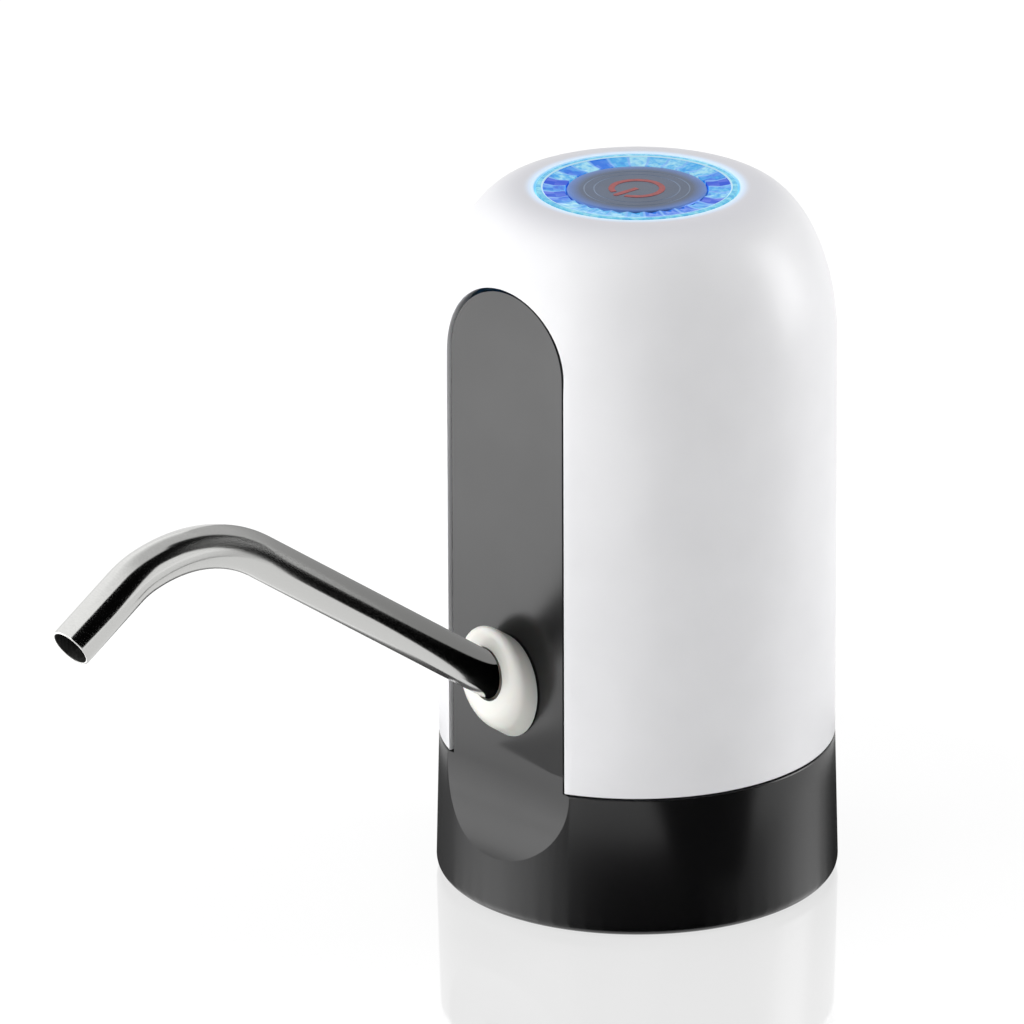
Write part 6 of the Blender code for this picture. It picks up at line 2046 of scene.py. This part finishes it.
    def hang_lamp(self, lamp: Lamp) -> None:
        """Hang a lamp at its place.

        Args:
            lamp: The lamp.
        """
        free_hands()
        bpy.ops.object.light_add(type="AREA")
        hung = bpy.context.object
        hung.name = lamp.name
        back = self.toward(lamp.azimuth, lamp.elevation)
        hung.location = self.axis + UP * self.aim_height + back * lamp.distance
        hung.rotation_mode = "QUATERNION"
        hung.rotation_quaternion = back.to_track_quat("Z", "Y")
        hung.data.shape = "RECTANGLE"
        hung.data.size, hung.data.size_y = lamp.size
        hung.data.energy = lamp.power

    def build_table(self) -> None:
        """Lay a pale glossy table that keeps a faint shadow and reflection, clear from below."""
        free_hands()
        bpy.ops.mesh.primitive_circle_add(vertices=64, radius=self.table_radius, fill_type="NGON",
                                          location=self.axis - UP * self.table_drop)
        table = bpy.context.object
        table.name = "table"
        # Glossy white acrylic: near the object it mirrors it faintly. What it sends to the camera is
        # mostly its own white, so the shadow stays pale, and the object gets plain white paint's light.
        material, tree = blank("glossy_white_acrylic")
        path = node(tree, "ShaderNodeLightPath").outputs
        seen = node(tree, "ShaderNodeMath", {0: path["Is Camera Ray"], 1: path["Is Glossy Ray"]},
                    operation="MAXIMUM").outputs["Value"]
        painted = node(tree, "ShaderNodeBsdfDiffuse", {"Color": linear(self.table_paint)}).outputs["BSDF"]
        shaded = node(tree, "ShaderNodeBsdfDiffuse", {"Color": linear(self.table_shade)}).outputs["BSDF"]
        shine = node(tree, "ShaderNodeBsdfGlossy", {
            "Color": linear("#FFFFFF"), "Roughness": self.table_roughness,
        })
        glow = node(tree, "ShaderNodeEmission", {"Color": linear("#FFFFFF"), "Strength": self.table_glow})
        away = node(tree, "ShaderNodeMapRange", {
            "Value": RoundPlace.on(tree, Vector()).radius, "From Min": self.mirror_full,
            "From Max": self.mirror_gone,
        }, interpolation_type="SMOOTHERSTEP").outputs["Result"]
        white = node(tree, "ShaderNodeEmission", {"Color": linear("#FFFFFF"), "Strength": self.far_white})
        mirrored = node(tree, "ShaderNodeMixShader", {"Fac": away, 1: shine.outputs["BSDF"],
                                                      2: white.outputs["Emission"]})
        glossy = node(tree, "ShaderNodeMixShader", {"Fac": self.table_mirror, 1: shaded,
                                                    2: mirrored.outputs["Shader"]})
        shown = node(tree, "ShaderNodeAddShader", {
            0: glossy.outputs["Shader"], 1: glow.outputs["Emission"],
        })
        above = node(tree, "ShaderNodeMixShader", {"Fac": seen, 1: painted, 2: shown.outputs["Shader"]})
        self.show_front(tree, above.outputs["Shader"])
        table.data.materials.append(material)

    def show_front(self, tree: bpy.types.NodeTree, front: bpy.types.NodeSocket) -> None:
        """Finish a sheet's material so that it is clear from its back.

        Args:
            tree: The material's node tree.
            front: The shader of its front.
        """
        clear = node(tree, "ShaderNodeBsdfTransparent").outputs["BSDF"]
        behind = node(tree, "ShaderNodeNewGeometry").outputs["Backfacing"]
        both = node(tree, "ShaderNodeMixShader", {"Fac": behind, 1: front, 2: clear})
        node(tree, "ShaderNodeOutputMaterial", {"Surface": both.outputs["Shader"]})

    def card(self, sheet: bpy.types.Object, glow: Glow) -> None:
        """Make a sheet a reflector card: only mirrored rays see it, and only from its front.

        Args:
            sheet: The sheet, made about the world's axis.
            glow: How bright it is.
        """
        put(sheet, Matrix.Translation(self.axis))
        material, tree = blank(sheet.name)
        place = getattr(RoundPlace.on(tree, self.axis), glow.measure.value)
        share = node(tree, "ShaderNodeMapRange", {
            "Value": place, "From Min": 0.0, "From Max": glow.reach,
        })
        shade = node(tree, "ShaderNodeValToRGB", {"Fac": share.outputs["Result"]}, glow.shades)
        light = node(tree, "ShaderNodeEmission", {
            "Color": shade.outputs["Color"], "Strength": glow.strength,
        })
        self.show_front(tree, light.outputs["Emission"])
        sheet.data.materials.append(material)
        sheet.visible_camera = False
        sheet.visible_diffuse = False
        sheet.visible_shadow = False
        sheet.visible_transmission = False

    def beside_panel(self, distance: float, aside: float) -> Vector:
        """Find a point on the table where the front panel mirrors it to the camera.

        Args:
            distance: How far along the mirrored line of sight it lies.
            aside: How far to that line's side.

        Returns:
            The point, from the foot of the body's axis.
        """
        start = self.toward(0, 0) * self.panel_outward
        along = self.toward(-self.azimuth, 0)
        return start + along * distance + along.cross(UP) * aside + UP * self.card_lift

    def build_cards(self) -> None:
        """Set the cards that the glossy pieces mirror.

        One lies on the table, for the panel, and a fan of strips lies round the base. Round the spout
        stand a black flag at its right, and behind it a grey screen beside a black veil, with a pale
        tray under it and a grey ceiling over it.
        """
        near, far = self.panel_reach
        narrow, wide = self.panel_halves
        strip = flat_sheet("panel_card", [self.beside_panel(distance, aside) for distance, aside in (
            (near, -narrow), (near, narrow), (far, wide), (far, -wide),
        )], UP)
        self.card(strip, self.panel_glow)
        self.build_fan()
        for card in self.cards:
            self.card(card.sheet(), card.glow)

    def build_fan(self) -> None:
        """Lay strips round the base, along the lines in which its wall mirrors the table."""
        edges = [self.azimuth - 90 + 180 * step / self.fan_strips for step in range(self.fan_strips + 1)]
        for first, last in zip(edges, edges[1:]):
            corners = []
            for wall in (first, last):
                start = self.toward(wall, 0) * self.fan_start
                end = start + self.toward(2 * wall - self.azimuth, 0) * self.fan_reach
                corners += [start, end] if wall == first else [end, start]
            lifted = [corner + UP * 2 * self.card_lift for corner in corners]
            strip = flat_sheet(f"fan_{edges.index(first)}", lifted, UP)
            self.card(strip, Glow(between(self.fan_shades, first + last - self.azimuth)))


def between(steps: tuple[Point, ...], place: float) -> float:
    """Read a value between the steps of a table.

    Args:
        steps: (place, value) pairs from low to high.
        place: Where it is read.

    Returns:
        The value.
    """
    for (low, before), (high, after) in zip(steps, steps[1:]):
        if place <= high:
            return before + (after - before) * max(0.0, (place - low) / (high - low))
    return steps[-1][1]


def spout_frame_at(outward: float, height: float, rise: float) -> Matrix:
    """Find the frame on the collar's face whose +Z points out along the spout.

    Args:
        outward: How far from the body's axis it lies.
        height: How high.
        rise: How much the spout climbs, in radians.

    Returns:
        Its place relative to the body's axis.
    """
    return Matrix.Translation((0, -outward, height)) @ Matrix.Rotation(QUARTER_TURN - rise, 4, "X")


def main() -> None:
    """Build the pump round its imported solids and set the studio."""
    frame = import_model()
    low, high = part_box("light_ring")
    axis = Vector(((low.x + high.x) / 2, (low.y + high.y) / 2, 0))
    Studio(axis).build()

    looks = finishes(axis, LampRing(axis, {}), PowerButton(axis, {}))
    dress_solids(frame["nodes"], looks)
    opening = Opening()
    spout_frame = spout_frame_at(Outlet.outward, Outlet.height, Outlet.rise)
    assemblies = (
        TopShell(axis, looks, opening), BaseHousing(axis, looks, opening, spout_frame),
        NeckSeat(axis, looks), Outlet(axis, looks, spout_frame), Spout(axis, looks, spout_frame),
        LampRing(axis, looks), PowerButton(axis, looks), ChargingPort(axis, looks),
    )
    for assembly in assemblies:
        assembly.build()
        LOG.info("%s built", type(assembly).__name__)

    free_hands()


if __name__ == "__main__":
    logging.basicConfig(level=logging.INFO, format="%(name)s: %(message)s")
    main()
